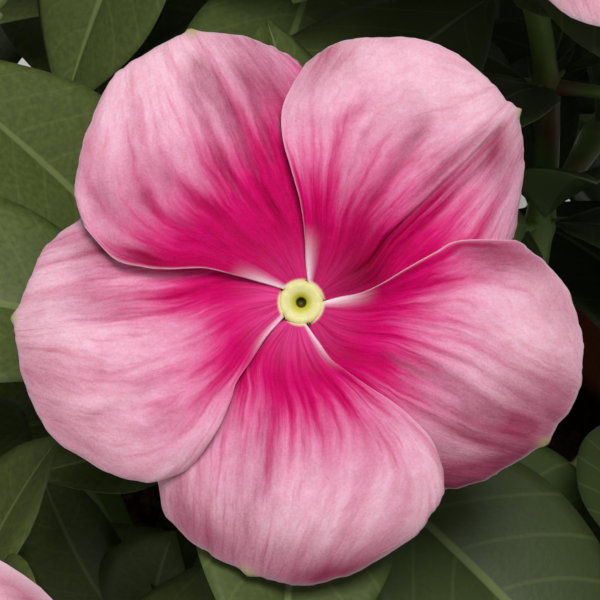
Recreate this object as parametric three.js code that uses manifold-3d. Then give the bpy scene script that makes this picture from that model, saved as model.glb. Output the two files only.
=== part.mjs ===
// A potted Madagascar periwinkle: a plain clay pot of soil, seven forked leafy stems standing in
// it, and the open blooms and closed buds that the stems carry.
// Millimetres, +Z up. The origin is the middle of the pot's flat foot.
// Bearings are degrees round +Z from the front (-Y) towards +X; slopes are degrees above level.
import * as THREE from 'three';
import { mergeVertices } from 'three/addons/utils/BufferGeometryUtils.js';
import Module from 'manifold-3d';

const wasm = await Module();
wasm.setup();

// Driving dimensions
const seat = 0.3;
const weldGap = 0.02;
const potHeight = 118;
const potFootRadius = 46;
const potNeckRadius = 62;
const potRimRadius = 69;
const potWall = 5;
const rimBand = 24;
const potFloor = 7;
const drainRadius = 4.5;
const drainRing = 26;
const soilTop = 104;
const soilRise = 4;
const soilSlack = 0.7;
const rootDepth = 16;
const mainStemRadius = 2.3;
const sideStemRadius = 1.7;
const tipStemRadius = 1.15;
const stemSides = 6;
const forkShare = 0.3;
const mainRise = 0.3;
const sideRise = 0.32;
const tipLength = 9;
const tipLean = 50;
const tipAside = 0.6;
const tipPull = 0.32;
const budLean = 38;
const bloomRadius = 26;
const tubeLength = 26;
const pedicelLength = 5;
const budLength = 29;
const eyeRadius = 1.9;
const petalThickness = 0.6;
const petalCurl = 1.1;
const petalDish = 0.5;
const edgeLift = 1.25;
const petalRoot = 2.9;
const rootShare = 0.055;
const rootSpread = 0.2;
const leafLength = 55;
const leafWidth = 25;
const leafStalk = 6;
const leafFold = 0.22;
const leafGap = 4.2;
const leafSeed = 1;

// What stands where: each stem's foot in the soil and its two shoots, each ending at an open bloom.
// at: bloom centre; bearing and slope: where it faces; size; spin: turn about its own axis;
// cup: rise of the petal ends; hand: side that the shoot's tip leans to; bud: it also has a bud.
const stems = [
  { foot: [-1, -19], shoots: [
    { at: [0, -60, 245], bearing: 0, slope: 50, size: 1, spin: 0, cup: 0, hand: 1, bud: false },
    { at: [-44.3, -85.8, 210.6], bearing: -20, slope: 38, size: 0.97, spin: 130, cup: -1.6, hand: -1,
      bud: false },
  ] },
  { foot: [20, -11], shoots: [
    { at: [26.6, -8.4, 261.5], bearing: 36, slope: 60, size: 0.95, spin: 72, cup: 1.8, hand: -1, bud: true },
    { at: [60, -88, 201], bearing: 34, slope: 28, size: 0.93, spin: 200, cup: 0.6, hand: 1, bud: true },
  ] },
  { foot: [25, 9], shoots: [
    { at: [101, -33, 205], bearing: 74, slope: 34, size: 0.98, spin: 300, cup: -1.2, hand: -1, bud: true },
    { at: [100, 40, 183], bearing: 112, slope: 22, size: 0.9, spin: 75, cup: 1.4, hand: 1, bud: false },
  ] },
  { foot: [11, 24], shoots: [
    { at: [60, 52, 242], bearing: 128, slope: 50, size: 1, spin: 160, cup: 0.4, hand: 1, bud: false },
    { at: [32, 105, 190], bearing: 164, slope: 26, size: 0.94, spin: 20, cup: -1.8, hand: -1, bud: true },
  ] },
  { foot: [-9, 23], shoots: [
    { at: [-8, 34, 270], bearing: 190, slope: 74, size: 0.97, spin: 250, cup: 1.2, hand: 1, bud: true },
    { at: [-40, 104, 184], bearing: 202, slope: 24, size: 0.92, spin: 110, cup: 0.8, hand: 1, bud: false },
  ] },
  { foot: [-24, 8], shoots: [
    { at: [-68, 50, 236], bearing: 232, slope: 46, size: 0.95, spin: 330, cup: -0.8, hand: -1, bud: false },
    { at: [-101, 33, 178], bearing: 250, slope: 20, size: 0.96, spin: 60, cup: 1.6, hand: 1, bud: false },
  ] },
  { foot: [-19, -12], shoots: [
    { at: [-61, -13, 249], bearing: 298, slope: 54, size: 0.93, spin: 215, cup: 0.9, hand: 1, bud: false },
    { at: [-103, -42, 196], bearing: 286, slope: 32, size: 0.99, spin: 15, cup: -1.4, hand: 1, bud: false },
  ] },
];

// The five petals of a bloom seen from the front, eye at (0, 0). `over` is the free edge, which lies
// on the next petal, and `under` the covered one, both from the eye outwards; `end` is the outer
// edge from the free corner to the covered one.
const petals = [
  {
    over: [[-1.6, 1.2], [-3.6, 1.8], [-6.1, 2.5], [-8.8, 3.1], [-12, 3], [-14.3, 3.2], [-17, 4],
      [-19.7, 6.9]],
    end: [[-19.7, 6.9], [-20.7, 10.2], [-19.9, 14.6], [-17.7, 20.1], [-14.6, 22.6], [-10.1, 24.8],
      [-4.7, 24.3], [-1.4, 22.9], [0.2, 21.6]],
    under: [[0.2, 2], [0.2, 4.9], [1.2, 9.4], [1.8, 14], [1.5, 18.4], [0.2, 21.6]],
  },
  {
    over: [[0.6, 1.9], [0.4, 3.7], [0.3, 6.2], [-0.1, 9.1], [-0.9, 12], [-1.7, 15], [-1.6, 18], [0.3, 21.7]],
    end: [[0.3, 21.7], [2.8, 23.5], [6.3, 24.2], [11.3, 24], [15.9, 21.7], [18.6, 18.9], [19.9, 17.4],
      [20.5, 12.6], [19.6, 6]],
    under: [[1.9, 0.5], [4.2, 0.4], [7.2, -0.6], [10.9, 0.6], [14.7, 2.3], [17.7, 4], [19.6, 6]],
  },
  {
    over: [[2, 0.1], [3.4, 0.5], [5.4, 0.9], [7.2, 1.7], [9.5, 3.1], [12, 4.5], [14.3, 5.6], [19.5, 5.7]],
    end: [[19.5, 5.7], [22, 3.9], [24.2, 1.4], [25.5, -2.2], [25.8, -5.4], [25.2, -8.7], [22.3, -12.8],
      [19, -15.1], [15.9, -16.7], [13, -17.3]],
    under: [[1.4, -1.4], [2.1, -4.1], [1.7, -6.3], [3.6, -9.1], [6, -12.2], [9, -15.3], [13, -17.3]],
  },
  {
    over: [[0.5, -2], [1.7, -3.7], [2.8, -5.2], [4.5, -6.5], [6.1, -7.6], [8.3, -9], [10.1, -10.5],
      [11.8, -12.4], [12.8, -14.6]],
    end: [[12.8, -14.6], [13, -17], [12, -19.2], [9.9, -21.7], [4.5, -24.9], [-0.5, -25.9], [-4.9, -24.8],
      [-9.2, -22.6], [-12.4, -19.6], [-13.2, -16.4]],
    under: [[-1, -1.8], [-3.2, -3.2], [-5.8, -4.1], [-7.6, -6.6], [-9.4, -9.4], [-11.4, -12.6],
      [-13.2, -16.4]],
  },
  {
    over: [[-1.7, -1.5], [-3.2, -3.2], [-4.5, -5.2], [-5.8, -7.1], [-6.3, -8.6], [-7.2, -10.8], [-8.3, -12.7],
      [-9.6, -14.5]],
    end: [[-9.6, -14.5], [-11.1, -15.6], [-14, -16.4], [-17.5, -15.6], [-22.4, -12.6], [-24.6, -9.4],
      [-26.1, -4.5], [-26.2, -1.4], [-24.6, 3], [-23.1, 5.6], [-20, 8]],
    under: [[-1.9, 0.8], [-4.1, 2.1], [-6.5, 4.4], [-10.2, 5.4], [-13.8, 6.3], [-17, 7.3], [-20, 8]],
  },
];

const clay = new THREE.MeshStandardMaterial({ color: 0xb5653f, roughness: 0.85, metalness: 0 });
const compost = new THREE.MeshStandardMaterial({ color: 0x33261c, roughness: 1, metalness: 0 });
const foliage = new THREE.MeshStandardMaterial({ color: 0x3a5a26, roughness: 0.45, metalness: 0 });
const petalPink = new THREE.MeshStandardMaterial({ color: 0xe58fb4, roughness: 0.6, metalness: 0 });
const throatYellow = new THREE.MeshStandardMaterial({ color: 0xd9dc93, roughness: 0.55, metalness: 0 });
const budPink = new THREE.MeshStandardMaterial({ color: 0xcf5f93, roughness: 0.55, metalness: 0 });

const up = new THREE.Vector3(0, 0, 1);
const plant = new THREE.Group();

// A run of draws that is the same every time, started from a piece's own number.
function drawsFor(seed) {
  let state = (seed * 2654435761) >>> 0;
  return (low, high) => {
    state = (Math.imul(state, 1664525) + 1013904223) >>> 0;
    return low + (high - low) * state / 4294967296;
  };
}

function rad(degrees) {
  return degrees * Math.PI / 180;
}

function facing(bearing, slope) {
  const level = Math.cos(rad(slope));
  const turn = rad(bearing);
  return new THREE.Vector3(level * Math.sin(turn), -level * Math.cos(turn), Math.sin(rad(slope)));
}

// The part of a vector that is square to an axis, at length 1.
function squareTo(vector, axis) {
  return vector.clone().addScaledVector(axis, -vector.dot(axis)).normalize();
}

function mix(a, b, share) {
  return a + (b - a) * share;
}

// Sum of vectors, each times its own amount.
function blend(...terms) {
  const sum = new THREE.Vector3();
  for (const [vector, amount] of terms) {
    sum.addScaledVector(vector, amount);
  }
  return sum;
}

function volumeOf(positions, index) {
  const [a, b, c] = [new THREE.Vector3(), new THREE.Vector3(), new THREE.Vector3()];
  let sum = 0;
  for (let i = 0; i < index.length; i += 3) {
    a.fromArray(positions, index[i] * 3);
    b.fromArray(positions, index[i + 1] * 3);
    c.fromArray(positions, index[i + 2] * 3);
    sum += a.dot(b.cross(c));
  }
  return sum / 6;
}

// A closed geometry from points and triangles, turned so that its faces point out.
function closedGeometry(points, triangles) {
  const positions = points.flatMap((p) => [p.x, p.y, p.z]);
  const index = triangles.flat();
  if (volumeOf(positions, index) < 0) {
    index.reverse();
  }
  const geometry = new THREE.BufferGeometry();
  geometry.setAttribute('position', new THREE.Float32BufferAttribute(positions, 3));
  geometry.setIndex(index);
  return geometry;
}

// A skin over rings of equal count, one after the other, closed at both ends. A last ring that is
// a single point makes a tip.
function loft(rings) {
  const count = rings[0].length;
  const points = rings.flat();
  const triangles = [];
  for (let i = 2; i < count; i += 1) {
    triangles.push([0, i - 1, i]);
  }
  for (let r = 0; r + 1 < rings.length; r += 1) {
    for (let i = 0; i < count; i += 1) {
      const here = r * count + i;
      const next = r * count + (i + 1) % count;
      if (rings[r + 1].length === 1) {
        triangles.push([next, here, (r + 1) * count]);
      } else {
        triangles.push([next, here, here + count], [next, here + count, next + count]);
      }
    }
  }
  if (rings.at(-1).length > 1) {
    const last = (rings.length - 1) * count;
    for (let i = 2; i < count; i += 1) {
      triangles.push([last, last + i, last + i - 1]);
    }
  }
  return closedGeometry(points, triangles);
}

// A ring of points round a centre, square to an axis.
function ringAt(centre, axis, radius, sides, start) {
  const right = squareTo(start, axis);
  const ahead = axis.clone().cross(right);
  return Array.from({ length: sides }, (_, i) => {
    const turn = 2 * Math.PI * i / sides;
    return blend([centre, 1], [right, radius * Math.cos(turn)], [ahead, radius * Math.sin(turn)]);
  });
}

function toSolid(geometry) {
  const bare = geometry.clone();
  bare.deleteAttribute('normal');
  bare.deleteAttribute('uv');
  const merged = mergeVertices(bare, 1e-5);
  const vertProperties = Float32Array.from(merged.attributes.position.array);
  const triVerts = Uint32Array.from(merged.index.array);
  return new wasm.Manifold(new wasm.Mesh({ numProp: 3, vertProperties, triVerts }));
}

// A solid's surface, with corners that all but coincide made one and the slivers between them gone.
function toGeometry(solid) {
  const mesh = solid.getMesh();
  const spots = [];
  const spotOf = [];
  for (let i = 0; i < mesh.vertProperties.length; i += 3) {
    const point = new THREE.Vector3().fromArray(mesh.vertProperties, i);
    const twin = spots.findIndex((spot) => spot.distanceTo(point) < weldGap);
    spotOf.push(twin < 0 ? spots.push(point) - 1 : twin);
  }
  const faces = new Map();
  for (let i = 0; i < mesh.triVerts.length; i += 3) {
    const face = [...mesh.triVerts.slice(i, i + 3)].map((corner) => spotOf[corner]);
    const key = [...face].sort((a, b) => a - b).join();
    if (faces.has(key)) {
      faces.delete(key);
    } else if (new Set(face).size === 3) {
      faces.set(key, face);
    }
  }
  const geometry = new THREE.BufferGeometry().setFromPoints(spots);
  geometry.setIndex([...faces.values()].flat());
  return geometry;
}

function fuse(geometries) {
  return geometries.map(toSolid).reduce((sum, solid) => sum.add(solid));
}

function addPiece(parent, name, geometry, material) {
  const piece = new THREE.Mesh(geometry, material);
  piece.name = name;
  parent.add(piece);
  return piece;
}

// Pot

const bandFoot = potHeight - rimBand;
const floorRadius = mix(potFootRadius, potNeckRadius, potFloor / bandFoot) - potWall;

function makePot() {
  const profile = [
    [0, 0], [potFootRadius - 1.5, 0], [potFootRadius, 1.5], [potNeckRadius, bandFoot - 2],
    [potRimRadius - 3, bandFoot], [potRimRadius - 1, potHeight - 3], [potRimRadius - 2.5, potHeight],
    [potRimRadius - potWall, potHeight], [potRimRadius - potWall - 1.5, potHeight - 2],
    [potNeckRadius - potWall, bandFoot], [floorRadius, potFloor], [0, potFloor],
  ];
  const outline = profile.map(([r, z]) => new THREE.Vector2(r, z));
  let solid = toSolid(new THREE.LatheGeometry(outline, 26).rotateX(Math.PI / 2));
  for (const bearing of [45, 135, 225, 315]) {
    const hole = new THREE.CylinderGeometry(drainRadius, drainRadius, 3 * potFloor, 10).rotateX(Math.PI / 2);
    const turn = rad(bearing);
    hole.translate(drainRing * Math.cos(turn), drainRing * Math.sin(turn), 0);
    solid = solid.subtract(toSolid(hole));
  }
  addPiece(plant, 'pot', toGeometry(solid), clay);
}

// Soil

function soilHeight(x, y) {
  const mound = 3.5 * (1 - (x * x + y * y) / 3200);
  const lumps = 0.9 * Math.sin(x * 0.31 + 1) * Math.cos(y * 0.27) + 0.6 * Math.sin(x * 0.13 - y * 0.4);
  return soilTop + mound + lumps;
}

function makeSoil() {
  const neck = potNeckRadius - potWall - soilSlack;
  const edge = neck + (soilTop - bandFoot) * 0.15;
  const profile = [[0, potFloor + seat], [floorRadius - soilSlack, potFloor + seat], [neck, bandFoot],
    ...[1, 0.8, 0.6, 0.4, 0.2, 0].map((share) => [edge * share, soilTop])];
  const outline = profile.map(([r, z]) => new THREE.Vector2(r, z));
  const geometry = new THREE.LatheGeometry(outline, 18).rotateX(Math.PI / 2);
  const spots = geometry.attributes.position;
  for (let i = 0; i < spots.count; i += 1) {
    if (spots.getZ(i) > soilTop - seat) {
      spots.setZ(i, soilHeight(spots.getX(i), spots.getY(i)));
    }
  }
  let solid = toSolid(geometry);
  const holeRadius = mainStemRadius + soilSlack;
  const holeDepth = 40;
  for (const { foot } of stems) {
    const hole = new THREE.CylinderGeometry(holeRadius, holeRadius, holeDepth, 8).rotateX(Math.PI / 2);
    hole.translate(...foot, soilTop - rootDepth - seat + holeDepth / 2);
    solid = solid.subtract(toSolid(hole));
  }
  addPiece(plant, 'soil', toGeometry(solid), compost);
}

// Blooms

const patches = petals.map(({ over, end, under }) => ({
  over: new THREE.SplineCurve(over.map(([x, y]) => new THREE.Vector2(x, y))),
  end: new THREE.SplineCurve(end.map(([x, y]) => new THREE.Vector2(x, y))),
  under: new THREE.SplineCurve(under.map(([x, y]) => new THREE.Vector2(x, y))),
}));

// A point of a petal: across runs from the covered edge (0) to the free one (1), along from the
// eye (0) to the outer edge (1).
function petalPoint(patch, across, along, shoot) {
  const under = patch.under.getPoint(along);
  const over = patch.over.getPoint(along);
  const outer = patch.end.getPoint(Math.min(1, Math.max(0, 1 - across)));
  const covered = patch.under.getPoint(1);
  const free = patch.over.getPoint(1);
  const x = mix(under.x, over.x, across) + along * (outer.x - mix(covered.x, free.x, across));
  const y = mix(under.y, over.y, across) + along * (outer.y - mix(covered.y, free.y, across));
  const reach = Math.hypot(x, y);
  const lift = edgeLift * (1 - Math.exp(-Math.max(0, reach - petalRoot) / 5)) * (2 * across - 1);
  const dish = (shoot.cup - petalDish) * (reach / bloomRadius) ** 2;
  return new THREE.Vector3(x, y, lift + dish - petalCurl * along ** 5);
}

// A blade over a grid of points, of even thickness, split alike on both faces. Its root edge is
// one straight side, from which the first row fans out.
function blade(pointAt, columns, rows, thickness) {
  const spots = [[-rootSpread, 0], [1 + rootSpread, 0]];
  for (let j = 1; j <= rows; j += 1) {
    for (let i = 0; i <= columns; i += 1) {
      spots.push([i / columns, j / rows]);
    }
  }
  const at = (i, j) => 2 + (j - 1) * (columns + 1) + i;
  const middle = Math.floor(columns / 2);
  const face = [[0, 1, at(middle, 1)]];
  for (let i = 0; i < columns; i += 1) {
    face.push([i < middle ? 0 : 1, at(i + 1, 1), at(i, 1)]);
    for (let j = 1; j < rows; j += 1) {
      face.push([at(i, j), at(i + 1, j), at(i + 1, j + 1)], [at(i, j), at(i + 1, j + 1), at(i, j + 1)]);
    }
  }
  const edge = [0, 1];
  for (let j = 1; j <= rows; j += 1) {
    edge.push(at(columns, j));
  }
  for (let i = columns - 1; i >= 0; i -= 1) {
    edge.push(at(i, rows));
  }
  for (let j = rows - 1; j >= 1; j -= 1) {
    edge.push(at(0, j));
  }
  const layer = spots.length;
  const points = [thickness / 2, -thickness / 2].flatMap((offset) => spots.map(([across, along]) => {
    const point = pointAt(across, along);
    point.z += offset;
    return point;
  }));
  const triangles = [...face, ...face.map(([a, b, c]) => [layer + a, layer + c, layer + b])];
  edge.forEach((a, i) => {
    const b = edge[(i + 1) % edge.length];
    triangles.push([b, a, layer + a], [b, layer + a, layer + b]);
  });
  return closedGeometry(points, triangles);
}

// The limb: five petals whose roots run into each other round the open throat.
function makeLimb(shoot, isFirst) {
  const [columns, rows] = isFirst ? [6, 6] : [4, 3];
  const blades = patches.map((patch) => {
    const pointAt = (across, along) => petalPoint(patch, across, mix(rootShare, 1, along), shoot);
    return blade(pointAt, columns, rows, petalThickness);
  });
  return toGeometry(fuse(blades));
}

function makeTube(isFirst) {
  const full = [[0, -tubeLength], [0.9, -tubeLength], [1.1, -7.5], [1.5, -4], [1.35, -1.8], [eyeRadius, -0.4],
    [eyeRadius, 0.1], [1.1, -0.1], [0.5, -1.2], [0, -5]];
  const plain = [[0, -tubeLength], [0.9, -tubeLength], [1.4, -4], [eyeRadius, 0.1], [0.5, -1.2], [0, -5]];
  const profile = (isFirst ? full : plain).map(([r, z]) => new THREE.Vector2(r, z));
  return new THREE.LatheGeometry(profile, isFirst ? 12 : 6).rotateX(Math.PI / 2);
}

// Leafy stems

// Where a shoot's bloom is carried, and which way its young tip grows on past it.
function shootEnd(shoot) {
  const face = facing(shoot.bearing, shoot.slope);
  const node = blend([new THREE.Vector3(...shoot.at), 1], [face, -(tubeLength * shoot.size + pedicelLength)]);
  const aside = squareTo(blend([up, 1], [facing(shoot.bearing + 90, 0), tipAside * shoot.hand]), face);
  return { face, node, tip: blend([face, Math.cos(rad(tipLean))], [aside, Math.sin(rad(tipLean))]) };
}

// The line of a stem from a start to a shoot's end.
function stemLine(start, heading, end, rise) {
  const span = start.distanceTo(end.node);
  return new THREE.CubicBezierCurve3(start, blend([start, 1], [heading, rise * span]),
    blend([end.node, 1], [end.tip, -tipPull * span]), end.node);
}

// Everything that a leaf has to stay clear of, as points along its middle surface.
const taken = [];

function take(point, owner, row) {
  taken.push({ point, owner, row });
}

function leafShape(t) {
  return Math.sin(Math.PI * t ** 1.12) ** 0.8;
}

// A leaf's frame at a share t of its whole length, stalk and blade, which arches down as it goes out.
function leafSpot(leaf, t) {
  const run = leaf.stalk + leaf.length;
  const { base, along, normal, arch } = leaf;
  const ahead = run * (t - arch * arch * t ** 3 / 6);
  const fall = run * arch * t * t / 2;
  const middle = blend([base, 1], [along, ahead], [normal, -fall]);
  const heading = blend([along, 1 - arch * arch * t * t / 2], [normal, -arch * t]).normalize();
  const side = normal.clone().cross(along);
  return { middle, side, above: heading.clone().cross(side) };
}

// The points of a leaf's middle surface: t as above, across from -1 to 1, edges raised in a shallow V.
function leafPoint(leaf, t, across) {
  const { middle, side, above } = leafSpot(leaf, t);
  const share = Math.max(0, (t * (leaf.stalk + leaf.length) - leaf.stalk) / leaf.length);
  const half = leaf.width / 2 * leafShape(share);
  return blend([middle, 1], [side, half * across], [above, leafFold * half * Math.abs(across)]);
}

const leafStations = [0.24, 0.54, 0.83];

function leafGeometry(leaf) {
  const run = leaf.stalk + leaf.length;
  const root = leafSpot(leaf, 0);
  const stalkHalf = Math.min(0.7, leaf.length / 26);
  const rings = [[
    blend([root.middle, 1], [root.side, -stalkHalf]), blend([root.middle, 1], [root.above, stalkHalf]),
    blend([root.middle, 1], [root.side, stalkHalf]), blend([root.middle, 1], [root.above, -stalkHalf]),
  ]];
  for (const share of leafStations) {
    const t = (leaf.stalk + share * leaf.length) / run;
    const { middle, above } = leafSpot(leaf, t);
    const half = Math.min(0.5, leaf.length / 40);
    rings.push([leafPoint(leaf, t, -1), blend([middle, 1], [above, half * 0.8]), leafPoint(leaf, t, 1),
      blend([middle, 1], [above, -half * 1.2])]);
  }
  rings.push([leafSpot(leaf, 1).middle]);
  return loft(rings);
}

// Points over a leaf, about 4 mm apart. Those near the stem only have to miss other stems' growth.
function leafSamples(leaf) {
  const run = leaf.stalk + leaf.length;
  const rows = Math.ceil(run / 4);
  const columns = Math.max(1, Math.ceil(leaf.width / 8));
  const samples = [];
  for (let j = 1; j <= rows; j += 1) {
    const t = j / rows;
    for (let i = -columns; i <= columns; i += 1) {
      samples.push({ point: leafPoint(leaf, t, i / columns), isRoot: t < 0.34 });
    }
  }
  return samples;
}

function hitsPot(point) {
  const reach = Math.hypot(point.x, point.y);
  const isByRim = reach > potNeckRadius - 10 && reach < potRimRadius + 4;
  return point.z < soilTop + 7 || (point.z < potHeight + 3 && isByRim);
}

function isClear(samples, leaf) {
  return samples.every(({ point, isRoot }) => (isRoot || !hitsPot(point)) && taken.every((other) => {
    const isOwn = other.owner === leaf.owner && (isRoot || other.row === leaf.row);
    return isOwn || Math.abs(point.z - other.point.z) > leafGap || point.distanceTo(other.point) > leafGap;
  }));
}

// The attitudes that a leaf tries in turn: turned aside, lowered or raised, and smaller.
function attitudes() {
  const list = [];
  for (const size of [1, 0.84, 0.68]) {
    for (const drop of [0, 16, -14, 32]) {
      for (const turn of [0, 16, -16, 32, -32]) {
        list.push({ size, drop, turn });
      }
    }
  }
  return list;
}

// A leaf at a node of a shoot. `out` is the way it leaves the stem, square to the stem's heading.
function leafAt(node, heading, out, form, attitude) {
  const { size, drop, turn } = attitude;
  const ahead = heading.clone().cross(out);
  const level = blend([out, Math.cos(rad(turn))], [ahead, Math.sin(rad(turn))]);
  const slope = rad(form.slope - drop);
  const along = blend([level, Math.cos(slope)], [heading, Math.sin(slope)]);
  const normal = squareTo(blend([heading, 0.5], [up, 0.8]), along);
  return {
    base: blend([node, 1], [along, 0.35]), along, normal, arch: form.arch, stalk: form.stalk * size,
    length: form.length * size, width: form.width * size, owner: form.owner, row: form.row,
  };
}

function placeLeaf(node, heading, out, form) {
  for (const attitude of attitudes()) {
    const leaf = leafAt(node, heading, out, form, attitude);
    const samples = leafSamples(leaf);
    if (isClear(samples, leaf)) {
      samples.forEach(({ point }) => take(point, leaf.owner, leaf.row));
      return leafGeometry(leaf);
    }
  }
  return null;
}

// Rows of leaf pairs down a shoot, from the pair at its end: share of the stem line, leaf size,
// slope out from square to the stem, and arch in radians.
const leafRows = [
  { share: 1, size: 0.82, slope: 4, arch: 0.5 },
  { share: 0.87, size: 1, slope: 14, arch: 0.6 },
  { share: 0.73, size: 1.06, slope: 12, arch: 0.75 },
  { share: 0.58, size: 1.04, slope: 10, arch: 0.85 },
  { share: 0.42, size: 0.94, slope: 6, arch: 0.95 },
];

// A flower stalk that widens into a calyx: a small cup whose rim rises into five narrow teeth.
function makeCalyx(node, face) {
  const start = up.clone().add(face);
  const cup = blend([node, 1], [face, pedicelLength - seat]);
  const ring = (rise, radius) => ringAt(blend([cup, 1], [face, rise]), face, radius, 10, start);
  const low = ring(0.2, 1.7);
  const high = ring(3.6, 2.5);
  return loft([ring(-pedicelLength, 0.6), ring(-0.6, 1.7), low.map((point, i) => (i % 2 ? point : high[i])),
    ring(0, 1.25), [cup]]);
}

// Which way a shoot's bud stands: on the other side of the young tip from the open bloom.
function budFacing(end) {
  return blend([end.tip, Math.cos(rad(budLean))], [squareTo(end.face, end.tip), -Math.sin(rad(budLean))]);
}

// A closed bud: a slender tube with a swollen, twisted point.
function makeBud(end) {
  const face = budFacing(end);
  const foot = blend([end.node, 1], [face, pedicelLength]);
  const start = up.clone().add(face);
  const sections = [[0, 0.75, 0], [12, 0.85, 0], [16, 1.7, 20], [20, 1.6, 70], [25, 0.9, 120]];
  const rings = sections.map(([rise, radius, twist]) =>
    ringAt(blend([foot, 1], [face, rise]), face, radius, 6, start.clone().applyAxisAngle(face, rad(twist))));
  return loft([...rings, [blend([foot, 1], [face, budLength])]]);
}

// Each stem's shoots as lines from the soil or the fork to their ends.
function planStems() {
  return stems.map(({ foot, shoots }) => {
    const lines = [];
    for (const shoot of shoots) {
      const end = shootEnd(shoot);
      if (lines.length === 0) {
        const start = new THREE.Vector3(...foot, soilTop + soilRise);
        lines.push({ line: stemLine(start, up, end, mainRise), end, shoot });
      } else {
        const fork = lines[0].line.getPoint(forkShare);
        const outward = squareTo(blend([end.node, 1], [fork, -1]), up);
        const heading = outward.multiplyScalar(0.8).add(up).normalize();
        lines.push({ line: stemLine(fork, heading, end, sideRise), end, shoot });
      }
    }
    return { foot, lines };
  });
}

// Keeps the space of a shoot's bloom, tube, tip, bud and stem free of leaves.
function reserve({ line, end, shoot }, owner) {
  const step = 3;
  const alongFrom = (way, reach, kind) => {
    for (let d = step; d < reach; d += step) {
      take(blend([end.node, 1], [way, d]), owner, kind);
    }
  };
  const right = squareTo(facing(shoot.bearing + 90, 0), end.face);
  const above = end.face.clone().cross(right);
  const centre = new THREE.Vector3(...shoot.at);
  for (let r = step; r <= bloomRadius; r += 3.8) {
    const count = Math.ceil(2 * Math.PI * r / 4);
    for (let i = 0; i < count; i += 1) {
      const turn = 2 * Math.PI * i / count;
      const [x, y, z] = [r * Math.cos(turn), r * Math.sin(turn), shoot.cup * (r / bloomRadius) ** 2];
      take(blend([centre, 1], [right, x * shoot.size], [above, y * shoot.size], [end.face, z * shoot.size]),
        owner, 'bloom');
    }
  }
  alongFrom(end.face, tubeLength + pedicelLength, 'tube');
  alongFrom(end.tip, tipLength + 2, 'tip');
  if (shoot.bud) {
    alongFrom(budFacing(end), pedicelLength + budLength, 'bud');
  }
  const steps = 40;
  for (let i = 0; i <= steps; i += 1) {
    take(line.getPoint(i / steps), owner, 'stem');
  }
}

// The pair of leaves at one row of a shoot, each turned, sized and arched by its own draws.
function growPair({ line, end }, owner, shootIndex, rowIndex) {
  const row = leafRows[rowIndex];
  const node = line.getPoint(row.share);
  const heading = line.getTangent(row.share);
  const first = squareTo(end.face, heading);
  const cross = heading.clone().cross(first);
  return [0, 1].map((half) => {
    const draw = drawsFor(leafSeed + owner * 1000 + shootIndex * 100 + rowIndex * 10 + half);
    const spread = rad(90 * (rowIndex % 2) + 180 * half) + draw(-0.2, 0.2);
    const out = blend([first, Math.cos(spread)], [cross, Math.sin(spread)]);
    const size = row.size * draw(0.88, 1.1);
    const slope = row.slope + draw(-6, 6);
    const arch = row.arch * draw(0.8, 1.2);
    return placeLeaf(node, heading, out, {
      slope, arch, stalk: leafStalk * size, length: leafLength * size, width: leafWidth * size,
      owner, row: `${shootIndex}.${rowIndex}`,
    });
  });
}

// The stem of a shoot from below the soil, or from the fork, to the pointed tip past its bloom.
function makeShoot({ line, end }, foot) {
  const [startRadius, steps] = foot ? [mainStemRadius, 8] : [sideStemRadius, 6];
  const start = new THREE.Vector3(1, 0.1, 0);
  const rings = [];
  if (foot) {
    const root = new THREE.Vector3(...foot, soilTop - rootDepth);
    rings.push(ringAt(root, up, startRadius, stemSides, start));
  }
  for (let i = 0; i <= steps; i += 1) {
    const share = i / steps;
    const radius = mix(startRadius, tipStemRadius, share);
    rings.push(ringAt(line.getPoint(share), line.getTangent(share), radius, stemSides, start));
  }
  return loft([...rings, [blend([end.node, 1], [end.tip, tipLength])]]);
}

function makeStems(plans) {
  const growth = plans.map(() => []);
  plans.forEach(({ lines }, owner) => lines.forEach((shootPlan) => reserve(shootPlan, owner)));
  leafRows.forEach((_, rowIndex) => plans.forEach(({ lines }, owner) => {
    lines.forEach((shootPlan, shootIndex) => {
      const isInside = shootIndex === 0 && rowIndex === leafRows.length - 1;
      if (!isInside) {
        growth[owner].push(...growPair(shootPlan, owner, shootIndex, rowIndex).filter(Boolean));
      }
    });
  }));
  let budNumber = 0;
  plans.forEach(({ foot, lines }, owner) => {
    lines.forEach((shootPlan, shootIndex) => {
      const { end, shoot } = shootPlan;
      growth[owner].push(makeShoot(shootPlan, shootIndex === 0 ? foot : null), makeCalyx(end.node, end.face));
      if (shoot.bud) {
        budNumber += 1;
        growth[owner].push(makeCalyx(end.node, budFacing(end)));
        addPiece(plant, `bud_${budNumber}`, makeBud(end), budPink);
      }
    });
    addPiece(plant, `stem_${owner + 1}`, toGeometry(fuse(growth[owner])), foliage);
  });
}

// Each bloom is a limb and a tube, turned to face its own way at its shoot's end.
function makeBlooms() {
  stems.flatMap(({ shoots }) => shoots).forEach((shoot, i) => {
    const name = `bloom_${String(i + 1).padStart(2, '0')}`;
    const group = new THREE.Group();
    addPiece(group, `${name}_petals`, makeLimb(shoot, i === 0), petalPink);
    addPiece(group, `${name}_tube`, makeTube(i === 0), throatYellow);
    const face = facing(shoot.bearing, shoot.slope);
    const right = squareTo(facing(shoot.bearing + 90, 0), face);
    const axes = new THREE.Matrix4().makeBasis(right, face.clone().cross(right), face);
    group.position.set(...shoot.at);
    group.quaternion.setFromRotationMatrix(axes);
    group.rotateZ(rad(shoot.spin));
    group.scale.setScalar(shoot.size);
    plant.add(group);
  });
}

makePot();
makeSoil();
makeStems(planStems());
makeBlooms();

export default plant;
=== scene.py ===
# A potted Madagascar periwinkle in bloom: fine petals, throats, leaves, buds, soil and clay pot
# dressed over the frame's plain solids. Shapes are worked out in millimetres and put down in metres.
# Bearings are degrees round +Z from the front (-Y) towards +X; slopes are degrees above level.
import math
from functools import partial
import bpy
import numpy as np
from mathutils import Matrix, Vector
from mathutils.kdtree import KDTree


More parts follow.
